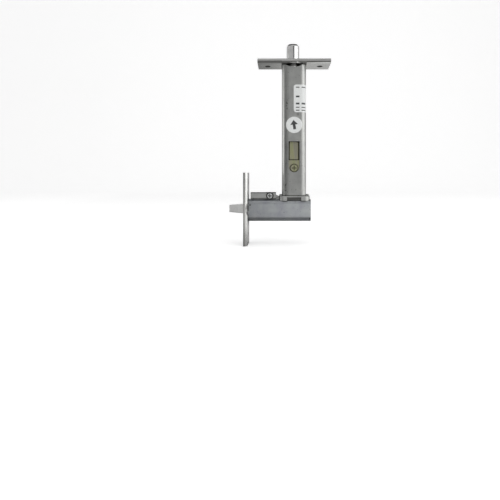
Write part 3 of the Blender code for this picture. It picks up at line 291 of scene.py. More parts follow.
# Two grey cards lie on the floor, in front of the lock and behind it.
flag("low_front_flag", grey_card, [(-0.3, -0.1, floor_z), (0.08, -0.1, floor_z),
                                   (0.08, 0.012, floor_z), (-0.3, 0.012, floor_z)])
flag("low_back_flag", grey_card, [(-0.5, 0.2, floor_z), (0.03, 0.2, floor_z),
                                  (0.03, 1.0, floor_z), (-0.5, 1.0, floor_z)])
print("lamps:", len(LAMPS))

# %% [markdown]
# ## Oil and painted shade in the seams
# A lock that has been handled keeps a little dark oil in smudges and scuffs. Most of the dark
# places, though, are painted shade: in seams and recesses, round screw heads and in their slots,
# and on edges and faces that turn from the light. Each such place is a mask: a block or a ring of
# space in the lock's own coordinates, so that it moves with its piece. Inside a mask the metal's
# colour is mixed with one dark colour, evenly or in patches.

# %% Masks for the dark places
# one dark colour, for real oil and specks and for painted shade
OIL_AND_SHADE = "#33322f"
PATCH_EDGES = (0.45, 0.6)


def mask_of(tree, soft_mm, around=None, patch_mm=0, **spans):
    """1 inside spans in mm along the lock's axes, fading out over soft_mm.

    Around is an axis, a point on it and a span of distances from it, for rings. A span may name
    a softness of its own after its two ends. With patch_mm the mask breaks up into patches.
    """
    place = add_node(tree, "TexCoord").outputs["Object"]
    parts = add_node(tree, "SeparateXYZ", {"Vector": place})
    measures = [(parts.outputs[axis], span) for axis, span in spans.items()]
    if around:
        axis, centre, span = around
        flat = [float(letter != axis) for letter in "XYZ"]
        pressed = add_node(tree, "VectorMath", {0: place, 1: flat}, operation="MULTIPLY")
        far = add_node(tree, "VectorMath", {0: pressed.outputs[0],
                                            1: [c * MM * f for c, f in zip(centre, flat)]},
                       operation="DISTANCE")
        measures.append((far.outputs["Value"], span))
    mask = 1.0
    for measure, (low, high, *own_soft) in measures:
        soft = own_soft[0] if own_soft else soft_mm
        away = add_node(tree, "Math", {0: measure, 1: (low + high) / 2 * MM},
                        operation="SUBTRACT")
        size = add_node(tree, "Math", {0: away.outputs[0]}, operation="ABSOLUTE")
        edge = add_node(tree, "MapRange", {"Value": size.outputs[0],
                                           "From Min": (high - low) / 2 * MM,
                                           "From Max": ((high - low) / 2 + soft) * MM,
                                           "To Min": 1.0, "To Max": 0.0})
        mask = add_node(tree, "Math", {0: mask, 1: edge.outputs[0]},
                        operation="MULTIPLY").outputs[0]
    if patch_mm:
        patch = add_node(tree, "TexNoise", {"Vector": place, "Scale": per_metre(patch_mm),
                                            "Detail": 2.0})
        broken = add_node(tree, "MapRange", {"Value": patch.outputs["Fac"],
                                             "From Min": PATCH_EDGES[0],
                                             "From Max": PATCH_EDGES[1]})
        mask = add_node(tree, "Math", {0: mask, 1: broken.outputs[0]},
                        operation="MULTIPLY").outputs[0]
    return mask


def oiled_and_shaded(tree, colour, marks):
    """Mix oil and painted shade into a colour. Each mark is a strength, a soft edge in mm and its
    place.
    """
    for strength, soft_mm, place in marks:
        amount = add_node(tree, "Math", {0: mask_of(tree, soft_mm, **place), 1: strength},
                          operation="MULTIPLY")
        colour = add_node(tree, "Mix", {0: amount.outputs[0], 6: colour, 7: linear(OIL_AND_SHADE)},
                          data_type="RGBA").outputs[2]
    return colour


print("old oil:", OIL_AND_SHADE)

# %% [markdown]
# ## Zinc plated steel
# Tube, case and brackets are mild steel with bright zinc plating. Electroplated zinc is a blue
# grey metal with a soft sheen. It is never even: the bath leaves cloudy patches a few
# millimetres across, and the drawn tube keeps fine lines along its length under the plating. The
# lines are a noise squeezed across the tube and stretched along it. Real draw lines are finer
# than a picture dot, so they are drawn 0.5 mm apart here.

# %% Zinc plating over drawn steel
CLOUD_MM = 9.0
GRAIN_MM = 0.35
SPECK_MM = 1.7
LINE_SPACING_MM = 0.5
LINE_LENGTH_MM = 60.0
LINE_DEPTH = 0.004 * MM
CLOUD_STOPS = (0.32, 0.5, 0.68)
SPECK_EDGES = (0.69, 0.77)
SPECK_STRENGTH = 0.35


def stretched(tree, along, fine_mm, long_mm):
    """Coordinates for a pattern fine_mm wide that runs long_mm along one axis."""
    place = add_node(tree, "TexCoord")
    scale = [per_metre(fine_mm)] * 3
    scale["XYZ".index(along)] = per_metre(long_mm)
    return add_node(tree, "Mapping", {"Vector": place.outputs["Object"], "Scale": scale})


def zinc_plated(name, along, tints, marks=()):
    """Zinc over steel in three tints, with draw lines along one axis, dark specks, and dark marks
    of oil and painted shade.
    """
    material, tree, shader = new_material(name, tints[1], metallic=1.0, roughness=0.42)
    shader.inputs["Specular Tint"].default_value = linear("#d0d0d0")
    shader.inputs["Coat Weight"].default_value = 0.25
    shader.inputs["Coat Roughness"].default_value = 0.12
    place = add_node(tree, "TexCoord").outputs["Object"]
    cloud = add_node(tree, "TexNoise", {"Vector": place, "Scale": per_metre(CLOUD_MM),
                                        "Detail": 3.0})
    tint = add_node(tree, "ValToRGB", {"Fac": cloud.outputs["Fac"]},
                    stops=list(zip(CLOUD_STOPS, tints)))
    speck = add_node(tree, "TexNoise", {"Vector": place, "Scale": per_metre(SPECK_MM),
                                        "Detail": 1.0})
    thin = add_node(tree, "MapRange", {"Value": speck.outputs["Fac"],
                                       "From Min": SPECK_EDGES[0], "From Max": SPECK_EDGES[1],
                                       "To Max": SPECK_STRENGTH})
    specked = add_node(tree, "Mix", {0: thin.outputs[0], 6: tint.outputs[0],
                                     7: linear(OIL_AND_SHADE)}, data_type="RGBA")
    tree.links.new(oiled_and_shaded(tree, specked.outputs[2], marks), shader.inputs["Base Color"])
    lines_at = stretched(tree, along, LINE_SPACING_MM, LINE_LENGTH_MM)
    lines = add_node(tree, "TexNoise", {"Vector": lines_at.outputs[0], "Scale": 1.0,
                                        "Detail": 2.0})
    grain = add_node(tree, "TexNoise", {"Vector": place, "Scale": per_metre(GRAIN_MM),
                                        "Detail": 2.0})
    sheen = add_node(tree, "Math", {0: lines.outputs["Fac"], 1: cloud.outputs["Fac"]},
                     operation="MULTIPLY")
    rough = add_node(tree, "MapRange", {"Value": sheen.outputs[0], "To Min": 0.34,
                                        "To Max": 0.6})
    tree.links.new(rough.outputs[0], shader.inputs["Roughness"])
    relief = add_node(tree, "Math", {0: lines.outputs["Fac"], 1: grain.outputs["Fac"]},
                      operation="ADD")
    bump = add_node(tree, "Bump", {"Height": relief.outputs[0], "Strength": 0.5,
                                   "Distance": LINE_DEPTH})
    tree.links.new(bump.outputs[0], shader.inputs["Normal"])
    return material


def box_mm(name):
    """Corners of a model piece in mm."""
    return [[value / MM for value in corner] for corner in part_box(name)]


PIVOT = [(low + high) / 2 for low, high in zip(*box_mm("pivot_nut"))]
BRACKET_LOW, BRACKET_HIGH = box_mm("crank_bracket")
FOOT_LOW, FOOT_HIGH = box_mm("tube_foot")
CASE_LOW, CASE_HIGH = box_mm("trigger_case")
TUBE_LOW = box_mm("bolt_tube")[0]
BLUE_TINTS = ("#97999f", "#a2a5a8", "#abaeaf")
PLAIN_TINTS = ("#9a9b99", "#a1a2a0", "#a8a9a6")
TUBE_LEFT = TUBE_LOW[0]
TUBE_SCUFFS_AND_SHADE = [
    # the low part of the front, with painted shade that darkens it towards the foot
    (0.24, 0.5, {"X": (33.0, 51.0, 6.0), "Y": (-10.0, -8.6), "Z": (-8.0, 35.0, 30.0)}),
    # dark patches on the left corner, just above the foot and near the round sticker's height
    (0.75, 0.5, {"X": (TUBE_LEFT + 3.2, TUBE_LEFT + 5.2), "Z": (-6.5, 3.5, 2.5),
                 "Y": (-9.3, -7.0), "patch_mm": 2.4}),
    (0.8, 0.4, {"X": (TUBE_LEFT + 4.4, TUBE_LEFT + 5.4), "Z": (77.0, 84.0, 2.0),
                "Y": (-9.3, -7.0), "patch_mm": 1.8}),
    # painted shade over the whole left corner, faintly, standing in for its dark reflection
    (0.22, 1.6, {"X": (TUBE_LEFT + 2.2, TUBE_LEFT + 5.6), "Y": (-9.3, -6.5)}),
    # a smudge on the front, right of its middle
    (0.35, 0.8, {"X": (47.2, 49.0), "Z": (70.4, 72.4), "Y": (-9.3, -8.5)}),
    # painted shade along the seam with the foot
    (0.5, 0.4, {"Z": (TUBE_LOW[2] - 1, TUBE_LOW[2] + 0.2)}),
]
CASE_SPOTS_AND_SHADE = [
    # the upper and the lower corner at the end away from the face plate
    (0.7, 0.5, {"X": (CASE_HIGH[0] - 1.0, CASE_HIGH[0] + 1), "Z": (-12.0, -10.0)}),
    (0.7, 0.5, {"X": (CASE_HIGH[0] - 1.2, CASE_HIGH[0] + 1), "Z": (-29.6, -28.0)}),
    # painted shade in the seam with the face plate, broken into patches
    (0.6, 0.6, {"X": (-2.0, 1.2), "Z": (-32.0, -10.0), "patch_mm": 2.5}),
    # a small dark spot near that seam
    (0.7, 0.4, {"X": (1.8, 3.0), "Z": (-16.2, -15.0), "Y": (-9.3, -8.5)}),
    # painted shade: a soft band along the bottom of the front, and the front's left part, which is
    # dimmer
    (0.3, 0.3, {"Z": (CASE_LOW[2] + 2.3, CASE_LOW[2] + 4.3), "Y": (-9.3, 0.0, 2.0)}),
    (0.16, 0.4, {"X": (-2.0, 4.0, 30.0), "Y": (-9.3, 0.0, 2.0)}),
]
BRACKET_PAINTED_SHADE = [
    # painted shade on the top edge, in the seam with the case, and on the front under the pivot
    # screw's head
    (0.7, 0.4, {"Z": (BRACKET_HIGH[2] - 0.5, BRACKET_HIGH[2] + 1)}),
    (0.7, 0.4, {"Z": (BRACKET_LOW[2] - 1, CASE_HIGH[2] + 1.0)}),
    (0.9, 0.3, {"around": ("Y", PIVOT, (0.0, 3.6)), "Y": (-5.0, -4.0)}),
]
FOOT_PAINTED_SHADE = [
    # painted shadow under the tube on the front, and painted shade on the foot's top edge
    (0.85, 0.4, {"X": (37.9, 51.1), "Z": (FOOT_LOW[2] - 1, FOOT_HIGH[2] - 1.5),
                 "Y": (-9.8, -6.0)}),
    (0.5, 0.4, {"Z": (FOOT_HIGH[2] - 0.3, FOOT_HIGH[2] + 1), "Y": (-9.0, 9.0)}),
]
zinc_tube = zinc_plated("zinc_plated_drawn_tube", "Z", PLAIN_TINTS, TUBE_SCUFFS_AND_SHADE)
zinc_case = zinc_plated("zinc_plated_pressed_case", "X", BLUE_TINTS, CASE_SPOTS_AND_SHADE)
zinc_bracket = zinc_plated("zinc_plated_bent_strip", "X", PLAIN_TINTS, BRACKET_PAINTED_SHADE)
zinc_foot = zinc_plated("zinc_plated_pressed_foot", "X", PLAIN_TINTS, FOOT_PAINTED_SHADE)
zinc_small = zinc_plated("zinc_plated_small_parts", "Z", PLAIN_TINTS)
print("zinc line spacing, mm:", LINE_SPACING_MM)

# %% [markdown]
# ## Satin chrome
# The two plates show when the door is open, so they get the better finish: chrome brushed along
# the plate. Brushing leaves long scratches, which stretch every highlight across them.

# %% Satin chrome, brushed along the plate
BRUSH_SPACING_MM = 0.25
BRUSH_LENGTH_MM = 30.0
BRUSH_DEPTH = 0.003 * MM


def satin_chrome(name, along, marks=()):
    """Satin chrome, brushed along one axis, with painted shade and painted reflections."""
    material, tree, shader = new_material(name, "#c6c6c4", metallic=1.0, roughness=0.26)
    shader.inputs["Specular Tint"].default_value = linear("#b4b4b4")
    brush_at = stretched(tree, along, BRUSH_SPACING_MM, BRUSH_LENGTH_MM)
    brush = add_node(tree, "TexNoise", {"Vector": brush_at.outputs[0], "Scale": 1.0,
                                        "Detail": 3.0})
    tint = add_node(tree, "ValToRGB", {"Fac": brush.outputs["Fac"]},
                    stops=[(0.3, "#bcbcba"), (0.7, "#cfcfcd")])
    tree.links.new(oiled_and_shaded(tree, tint.outputs[0], marks), shader.inputs["Base Color"])
    rough = add_node(tree, "MapRange", {"Value": brush.outputs["Fac"], "To Min": 0.2,
                                        "To Max": 0.36})
    tree.links.new(rough.outputs[0], shader.inputs["Roughness"])
    bump = add_node(tree, "Bump", {"Height": brush.outputs["Fac"], "Strength": 0.5,
                                   "Distance": BRUSH_DEPTH})
    tree.links.new(bump.outputs[0], shader.inputs["Normal"])
    return material


GUIDE_LOW, GUIDE_HIGH = box_mm("guide_plate")
GUIDE_MIDDLE = (GUIDE_LOW[0] + GUIDE_HIGH[0]) / 2
SCREW_APART = 50.8
SCREW_HOLE = 5.0
GUIDE_PAINTED_SHADE = [
    # painted shade on the underside round the tube
    (0.75, 0.8, {"X": (GUIDE_MIDDLE - 11.6, GUIDE_MIDDLE + 11.6), "Y": (-11.9, 11.9),
                 "Z": (GUIDE_LOW[2] - 1, GUIDE_LOW[2] + 1.4)}),
    # painted shade on the underside's front edge, left of the tube
    (0.6, 0.3, {"X": (GUIDE_LOW[0] - 1, GUIDE_MIDDLE - 12.0), "Y": (-12.6, -10.8),
                "Z": (GUIDE_LOW[2] - 1, GUIDE_LOW[2] + 2.0)}),
    # painted shade: a thin line along the whole front side, and a darker one right of the tube
    (0.7, 0.2, {"Y": (-13.0, -12.4), "Z": (GUIDE_LOW[2] + 0.9, GUIDE_LOW[2] + 1.7)}),
    (0.8, 0.3, {"X": (GUIDE_MIDDLE + 12.0, GUIDE_HIGH[0] + 1), "Y": (-13.0, -11.9),
                "Z": (GUIDE_LOW[2] + 0.5, GUIDE_LOW[2] + 1.5)}),
]
# painted shade on the walls of the two screw holes
for side in (-1, 1):
    hole = (GUIDE_MIDDLE + side * SCREW_APART / 2, 0, 0)
    GUIDE_PAINTED_SHADE.append((0.8, 0.5, {"around": ("Z", hole, (0.0, SCREW_HOLE / 2 + 0.1)),
                                   "Z": (GUIDE_LOW[2] - 1, GUIDE_HIGH[2] - 1.5)}))
FACE_PAINTED_SHADE = [
    # painted reflection of the case: dark on the plate's back just above the case and just below
    # it
    (0.85, 0.5, {"X": (-0.6, 0.4), "Z": (CASE_HIGH[2] - 2, CASE_HIGH[2] + 3.5, 3.0),
                 "Y": (-4.0, 9.0, 3.0)}),
    (0.85, 0.5, {"X": (-0.6, 0.4), "Z": (CASE_LOW[2] - 2.5, CASE_LOW[2] + 2, 3.0),
                 "Y": (-4.0, 9.0, 3.0)}),
    # painted shade on the far part of the back, and on the left part of the side that faces the
    # camera
    (0.35, 0.5, {"X": (-0.3, 0.4), "Y": (8.0, 13.0, 9.0)}),
    (0.45, 0.5, {"X": (-4.5, -2.7), "Y": (-13.0, -12.0)}),
]
chrome_face = satin_chrome("satin_chrome_face_plate", "Z", FACE_PAINTED_SHADE)
chrome_guide = satin_chrome("satin_chrome_guide_plate", "X", GUIDE_PAINTED_SHADE)
print("brush spacing, mm:", BRUSH_SPACING_MM)

# %% [markdown]
# ## The bolt
# The bolt is turned from bar and polished, so it mirrors its surroundings in narrow upright
# bands. The lathe leaves rings, which are noise squeezed along the bolt's axis.

# %% Turned and polished steel
TURNING_MM = 0.22
TURNING_RUN_MM = 50.0
SMEAR_MM = 5.0
TURNING_DEPTH = 0.0015 * MM


def turned_steel():
    """Polished steel with turning rings and faint smears."""
    material, tree, shader = new_material("turned_polished_steel", "#c9c9c8",
                                          metallic=1.0, roughness=0.16)
    place = add_node(tree, "TexCoord")
    flat = add_node(tree, "Mapping", {"Vector": place.outputs["Object"],
                                      "Scale": (per_metre(TURNING_RUN_MM),
                                                per_metre(TURNING_RUN_MM),
                                                per_metre(TURNING_MM))})
    rings = add_node(tree, "TexNoise", {"Vector": flat.outputs[0], "Scale": 1.0, "Detail": 2.0})
    smear = add_node(tree, "TexNoise", {"Vector": place.outputs["Object"],
                                        "Scale": per_metre(SMEAR_MM), "Detail": 2.0})
    rough = add_node(tree, "MapRange", {"Value": smear.outputs["Fac"], "To Min": 0.1,
                                        "To Max": 0.24})
    tree.links.new(rough.outputs[0], shader.inputs["Roughness"])
    tint = add_node(tree, "ValToRGB", {"Fac": smear.outputs["Fac"]},
                    stops=[(0.3, "#c2c2c1"), (0.7, "#d0d0cf")])
    tree.links.new(tint.outputs[0], shader.inputs["Base Color"])
    bump = add_node(tree, "Bump", {"Height": rings.outputs["Fac"], "Strength": 0.4,
                                   "Distance": TURNING_DEPTH})
    tree.links.new(bump.outputs[0], shader.inputs["Normal"])
    return material


bolt_steel = turned_steel()
print("turning rings, mm:", TURNING_MM)

# %% [markdown]
# ## Zinc dichromate
# The slide behind the window is zinc plated too, and then dipped in a dichromate bath. That
# leaves a thin olive yellow film whose colour drifts from green to gold with its thickness.

# %% Olive yellow passivated zinc
FILM_MM = 3.2
FILM_RUN_MM = 30.0


def zinc_dichromate(name, marks):
    """Olive yellow film on zinc, drifting in colour, with painted shade."""
    material, tree, shader = new_material(name, "#95947b", metallic=1.0, roughness=0.36)
    shader.inputs["Specular Tint"].default_value = linear("#c8c8c0")
    film_at = stretched(tree, "Z", FILM_MM, FILM_RUN_MM)
    film = add_node(tree, "TexNoise", {"Vector": film_at.outputs[0], "Scale": 1.0, "Detail": 2.0})
    tint = add_node(tree, "ValToRGB", {"Fac": film.outputs["Fac"]},
                    stops=[(0.3, "#8c8b80"), (0.46, "#9a9882"), (0.6, "#999a78"),
                           (0.74, "#91957a")])
    tree.links.new(oiled_and_shaded(tree, tint.outputs[0], marks), shader.inputs["Base Color"])
    place = add_node(tree, "TexCoord").outputs["Object"]
    grain = add_node(tree, "TexNoise", {"Vector": place, "Scale": per_metre(GRAIN_MM),
                                        "Detail": 2.0})
    rough = add_node(tree, "MapRange", {"Value": grain.outputs["Fac"], "To Min": 0.3,
                                        "To Max": 0.48})
    tree.links.new(rough.outputs[0], shader.inputs["Roughness"])
    bump = add_node(tree, "Bump", {"Height": grain.outputs["Fac"], "Strength": 0.4,
                                   "Distance": LINE_DEPTH})
    tree.links.new(bump.outputs[0], shader.inputs["Normal"])
    return material


CLAMP_HIGH = box_mm("clamp_plate")[1]
SCREW_LOW, SCREW_HIGH = box_mm("clamp_screw")
SCREW_MIDDLE = [(low + high) / 2 for low, high in zip(SCREW_LOW, SCREW_HIGH)]
SCREW_RADIUS = (SCREW_HIGH[0] - SCREW_LOW[0]) / 2
# half the width of the slide that shows in the window
SLIDE_HALF = 4.3
SLIDE_PAINTED_SHADE = [
    # painted shade at both edges in the window, and a painted shadow line where the clamp plate's
    # top lies on the slide
    (0.8, 0.3, {"X": (SCREW_MIDDLE[0] - SLIDE_HALF - 2, SCREW_MIDDLE[0] - SLIDE_HALF + 0.1)}),
    (0.85, 0.3, {"X": (SCREW_MIDDLE[0] + SLIDE_HALF - 0.3, SCREW_MIDDLE[0] + SLIDE_HALF + 2)}),
    (0.8, 0.3, {"Z": (CLAMP_HIGH[2] - 1, CLAMP_HIGH[2] + 0.4)}),
]
CLAMP_PAINTED_SHADE = [
    # painted shade on the clamp plate's top edge, and in a ring round its screw
    (0.8, 0.3, {"Z": (CLAMP_HIGH[2] - 0.4, CLAMP_HIGH[2] + 1)}),
    (0.55, 0.4, {"around": ("Y", SCREW_MIDDLE, (SCREW_RADIUS - 1, SCREW_RADIUS + 0.5))}),
]
SCREW_PAINTED_SHADE = [
    # painted shade in the cross recess and on the head's side, and on the head's rim
    (0.7, 0.15, {"Y": (SCREW_LOW[1] + 0.3, SCREW_HIGH[1])}),
    (0.5, 0.3, {"around": ("Y", SCREW_MIDDLE, (SCREW_RADIUS - 0.4, SCREW_RADIUS + 1))}),
]
yellow_slide = zinc_dichromate("zinc_dichromate_slide", SLIDE_PAINTED_SHADE)
yellow_clamp = zinc_dichromate("zinc_dichromate_clamp_plate", CLAMP_PAINTED_SHADE)
yellow_screw = zinc_dichromate("zinc_dichromate_screw", SCREW_PAINTED_SHADE)
print("film patches, mm:", FILM_MM)

# %% [markdown]
# ## Cast zinc and spring wire
# The trigger is a small zinc casting, tumbled until its skin is matt and faintly pebbled. Pins
# and spring are drawn wire, darker and smoother, with lines along the wire.

# %% Tumbled casting and drawn wire
PEBBLE_MM = 0.6
PEBBLE_DEPTH = 0.015 * MM
WIRE_LINE_MM = 0.15
WIRE_LINE_LENGTH_MM = 6.0


def tumbled_zinc():
    """Matt, faintly pebbled zinc."""
    material, tree, shader = new_material("tumbled_zinc_casting", "#d8d8d7",
                                          metallic=1.0, roughness=0.42)
    place = add_node(tree, "TexCoord")
    pebble = add_node(tree, "TexNoise", {"Vector": place.outputs["Object"],
                                         "Scale": per_metre(PEBBLE_MM), "Detail": 3.0})
    tint = add_node(tree, "ValToRGB", {"Fac": pebble.outputs["Fac"]},
                    stops=[(0.3, "#cfcfce"), (0.7, "#dededd")])
    tree.links.new(tint.outputs[0], shader.inputs["Base Color"])
    rough = add_node(tree, "MapRange", {"Value": pebble.outputs["Fac"], "To Min": 0.34,
                                        "To Max": 0.52})
    tree.links.new(rough.outputs[0], shader.inputs["Roughness"])
    bump = add_node(tree, "Bump", {"Height": pebble.outputs["Fac"], "Strength": 0.5,
                                   "Distance": PEBBLE_DEPTH})
    tree.links.new(bump.outputs[0], shader.inputs["Normal"])
    return material


def drawn_wire():
    """Dark, smooth wire with fine lines."""
    material, tree, shader = new_material("drawn_spring_wire", "#77787a",
                                          metallic=1.0, roughness=0.3)
    wire_at = stretched(tree, "Y", WIRE_LINE_MM, WIRE_LINE_LENGTH_MM)
    lines = add_node(tree, "TexNoise", {"Vector": wire_at.outputs[0], "Scale": 1.0})
    tint = add_node(tree, "ValToRGB", {"Fac": lines.outputs["Fac"]},
                    stops=[(0.3, "#6b6c6e"), (0.7, "#85868a")])
    tree.links.new(tint.outputs[0], shader.inputs["Base Color"])
    rough = add_node(tree, "MapRange", {"Value": lines.outputs["Fac"], "To Min": 0.24,
                                        "To Max": 0.4})
    tree.links.new(rough.outputs[0], shader.inputs["Roughness"])
    return material


casting = tumbled_zinc()
wire = drawn_wire()
print("casting pebbles, mm:", PEBBLE_MM)

# %% [markdown]
# ## Plated screws
# The pivot screw and its nut are turned, plated and handled with tools, so their faces are
# bright. Their slots, sides and rims are darkened with painted shade.

# %% Bright plated screw
WORN_MM = 1.2
FACE_DEPTH = 0.35
RIM_SPAN = (2.5, 4.0)


def plated_screw():
    """Bright zinc on a turned head, with painted shade deeper than its face and at its rim."""
    material, tree, shader = new_material("zinc_plated_turned_screw", "#b8baba",
                                          metallic=1.0, roughness=0.22)
    place = add_node(tree, "TexCoord").outputs["Object"]
    worn = add_node(tree, "TexNoise", {"Vector": place, "Scale": per_metre(WORN_MM),
                                       "Detail": 2.0})
    tint = add_node(tree, "ValToRGB", {"Fac": worn.outputs["Fac"]},
                    stops=[(0.35, "#9c9e9e"), (0.6, "#c6c8c8")])
    nut_depth = box_mm("pivot_nut")[1][1]
    # painted shade on everything deeper than the outer faces, and on the rim round the pivot
    marks = [(0.9, 0.1, {"Y": (FACE_DEPTH - nut_depth, nut_depth - FACE_DEPTH)}),
             (0.8, 0.2, {"around": ("Y", PIVOT, RIM_SPAN)})]
    tree.links.new(oiled_and_shaded(tree, tint.outputs[0], marks), shader.inputs["Base Color"])
    rough = add_node(tree, "MapRange", {"Value": worn.outputs["Fac"], "To Min": 0.3,
                                        "To Max": 0.14})
    tree.links.new(rough.outputs[0], shader.inputs["Roughness"])
    return material


zinc_screw = plated_screw()
print("pivot at, mm:", [round(value, 1) for value in PIVOT])

# %% [markdown]
# ## Give each piece its finish
# The model says which slot a piece takes its finish from. Most slots are one material. Pieces
# with their own oil marks or painted shade, or that are brushed another way, have a finish of
# their own.

# %% Assign the materials
OWN_FINISH = {
    "bolt_tube": zinc_tube, "trigger_case": zinc_case, "crank_bracket": zinc_bracket,
    "tube_foot": zinc_foot, "guide_plate": chrome_guide, "clamp_plate": yellow_clamp,
    "clamp_screw": yellow_screw, "crank_pivot_screw": zinc_screw, "pivot_nut": zinc_screw,
}
FINISH_OF_SLOT = {
    "zinc_plated_steel": zinc_small,
    "satin_chrome_plate": chrome_face,
    "polished_bolt_steel": bolt_steel,
    "zinc_dichromate": yellow_slide,
    "cast_zinc": casting,
    "spring_steel": wire,
}
slot_of = {row["node"]: row["material_slot"] for row in frame["record"]["subparts"]}
for name, piece in frame["nodes"].items():
    finish = OWN_FINISH.get(name, FINISH_OF_SLOT[slot_of[name]])
    for material_slot in piece.material_slots:
        material_slot.material = finish
print("finishes given:", len(frame["nodes"]))

# %% [markdown]
# ## The bolt's end
# The bolt's end is turned with a short chamfer, a softened corner and the dimple that the lathe's
# centre leaves. A profile of radii and heights is spun round the bolt's axis, as on the lathe,
# and takes the place of the model's plainer end. Two extra rings, just below the chamfer and just
# above the lower end, keep the smooth shading of the long side straight, so that its reflections
# stay upright.

# %% Turn the bolt head
HEAD_LOW, HEAD_HIGH = box_mm("bolt_head")
HEAD_RADIUS = (HEAD_HIGH[0] - HEAD_LOW[0]) / 2
# sizes in mm, down to the dimple's depth
HEAD_CHAMFER = 1.7
HEAD_CHAMFER_IN = 1.2
HEAD_SOFT = 0.25
HEAD_FOOT = 0.5
FOOT_RING = 0.9
TOP_RING = 0.6
DIMPLE_RADIUS = 1.0
DIMPLE_TIP = 0.15
DIMPLE_DEPTH = 0.6
HEAD_SIDES = 96
HEAD_SHARP = 25


def finished(shape, name, material, sharp_degrees=None):
    """Turn a bmesh into a piece with smooth shading, sharp from an angle on, in one material."""
    mesh = bpy.data.meshes.new(name)
    shape.to_mesh(mesh)
    shape.free()
    mesh.shade_smooth()
    if sharp_degrees:
        mesh.set_sharp_from_angle(angle=math.radians(sharp_degrees))
    mesh.materials.append(material)
    return put_in_scene(name, mesh)


def spun(name, profile, centre, material):
    """Spin (radius, height) points in mm round an upright axis at centre, as a closed solid."""
    turned = bmesh.new()
    rings = []
    for radius, height in profile:
        turns = [2 * math.pi * i / HEAD_SIDES for i in range(HEAD_SIDES)]
        rings.append([turned.verts.new(((centre[0] + radius * math.cos(t)) * MM,
                                        (centre[1] + radius * math.sin(t)) * MM, height * MM))
                      for t in turns])
    for lower, upper in zip(rings, rings[1:]):
        for i in range(HEAD_SIDES):
            j = (i + 1) % HEAD_SIDES
            turned.faces.new((lower[i], lower[j], upper[j], upper[i]))
    turned.faces.new(list(reversed(rings[0])))
    turned.faces.new(rings[-1])
    return finished(turned, name, material, HEAD_SHARP)


top = HEAD_HIGH[2]
shoulder = HEAD_RADIUS - HEAD_CHAMFER_IN
head_profile = [(HEAD_RADIUS - HEAD_FOOT, HEAD_LOW[2]),
                (HEAD_RADIUS, HEAD_LOW[2] + HEAD_FOOT),
                (HEAD_RADIUS, HEAD_LOW[2] + FOOT_RING),
                (HEAD_RADIUS, top - HEAD_CHAMFER - TOP_RING),
                (HEAD_RADIUS, top - HEAD_CHAMFER - HEAD_SOFT),
                (HEAD_RADIUS - HEAD_SOFT / 3, top - HEAD_CHAMFER + HEAD_SOFT / 4),
                (shoulder + HEAD_SOFT, top - HEAD_SOFT / 2),
                (shoulder - HEAD_SOFT, top),
                (DIMPLE_RADIUS, top),
                (DIMPLE_TIP, top - DIMPLE_DEPTH)]
head_middle = [(low + high) / 2 for low, high in zip(HEAD_LOW, HEAD_HIGH)]
bolt_head = spun("turned_bolt_head", head_profile, head_middle, bolt_steel)
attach(bolt_head, "bolt")
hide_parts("bolt_head")
print("bolt head across, mm:", 2 * HEAD_RADIUS)

# %% [markdown]
# ## The slide's top edge
# The slide's top edge is bent slightly forward where it was sheared, and catches the light as a
# thin line just under the window's edge. It is a small bar with a rounded front, drawn as a
# section across and pushed along the slide's width.

# %% Lip along the slide's top
LIP_HEIGHT = 1.25
LIP_DEPTH = 2.4
LIP_ROUND = 0.5
LIP_OVERLAP = 0.75
LIP_STEPS = 5
LIP_SHORT_LEFT = 0.2
LIP_SHORT_RIGHT = 0.4
LIP_SHARP = 40
SLIDE_LOW, SLIDE_HIGH = box_mm("bolt_slide")


def pushed(name, section, left, right, material):
    """Push a (y, z) section in mm from left to right, as a closed solid."""
    bar_mesh = bmesh.new()
    ends = [[bar_mesh.verts.new((x * MM, y * MM, z * MM)) for y, z in section]
            for x in (left, right)]
    count = len(section)
    for i in range(count):
        j = (i + 1) % count
        bar_mesh.faces.new((ends[0][i], ends[0][j], ends[1][j], ends[1][i]))
    bar_mesh.faces.new(list(reversed(ends[0])))
    bar_mesh.faces.new(ends[1])
    bmesh.ops.recalc_face_normals(bar_mesh, faces=bar_mesh.faces)
    return finished(bar_mesh, name, material, LIP_SHARP)


lip_front = SLIDE_LOW[1]
lip_bottom = SLIDE_HIGH[2] - LIP_OVERLAP
lip_top = SLIDE_HIGH[2] + LIP_HEIGHT
lip_section = [(lip_front + LIP_DEPTH, lip_bottom), (lip_front, lip_bottom)]
for step in range(LIP_STEPS + 1):
    turn = math.pi / 2 * step / LIP_STEPS
    lip_section.append((lip_front + LIP_ROUND * (1 - math.cos(turn)),
                        lip_top - LIP_ROUND * (1 - math.sin(turn))))
lip_section.append((lip_front + LIP_DEPTH, lip_top))
slide_lip = pushed("slide_top_lip", lip_section, SCREW_MIDDLE[0] - SLIDE_HALF + LIP_SHORT_LEFT,
                   SCREW_MIDDLE[0] + SLIDE_HALF - LIP_SHORT_RIGHT, yellow_slide)
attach(slide_lip, "slide")
print("lip top, mm:", round(lip_top, 2))

# %% [markdown]
# ## The trigger's spring
# The spring lies in the case between the trigger's bar and the end plug, and gets shorter when
# the trigger is pushed in. It is wound here as a wire along a coil whose end turns lie close
# together, as on a real compression spring. It rides with the trigger.

# %% Wind the spring
COIL_LOW, COIL_HIGH = box_mm("trigger_spring")
COIL_MIDDLE = [(low + high) / 2 for low, high in zip(COIL_LOW, COIL_HIGH)]
WIRE_RADIUS = 0.35
COIL_RADIUS = (COIL_HIGH[1] - COIL_LOW[1]) / 2 - WIRE_RADIUS
OPEN_TURNS = 7
CLOSED_TURNS = 1
POINTS_A_TURN = 24


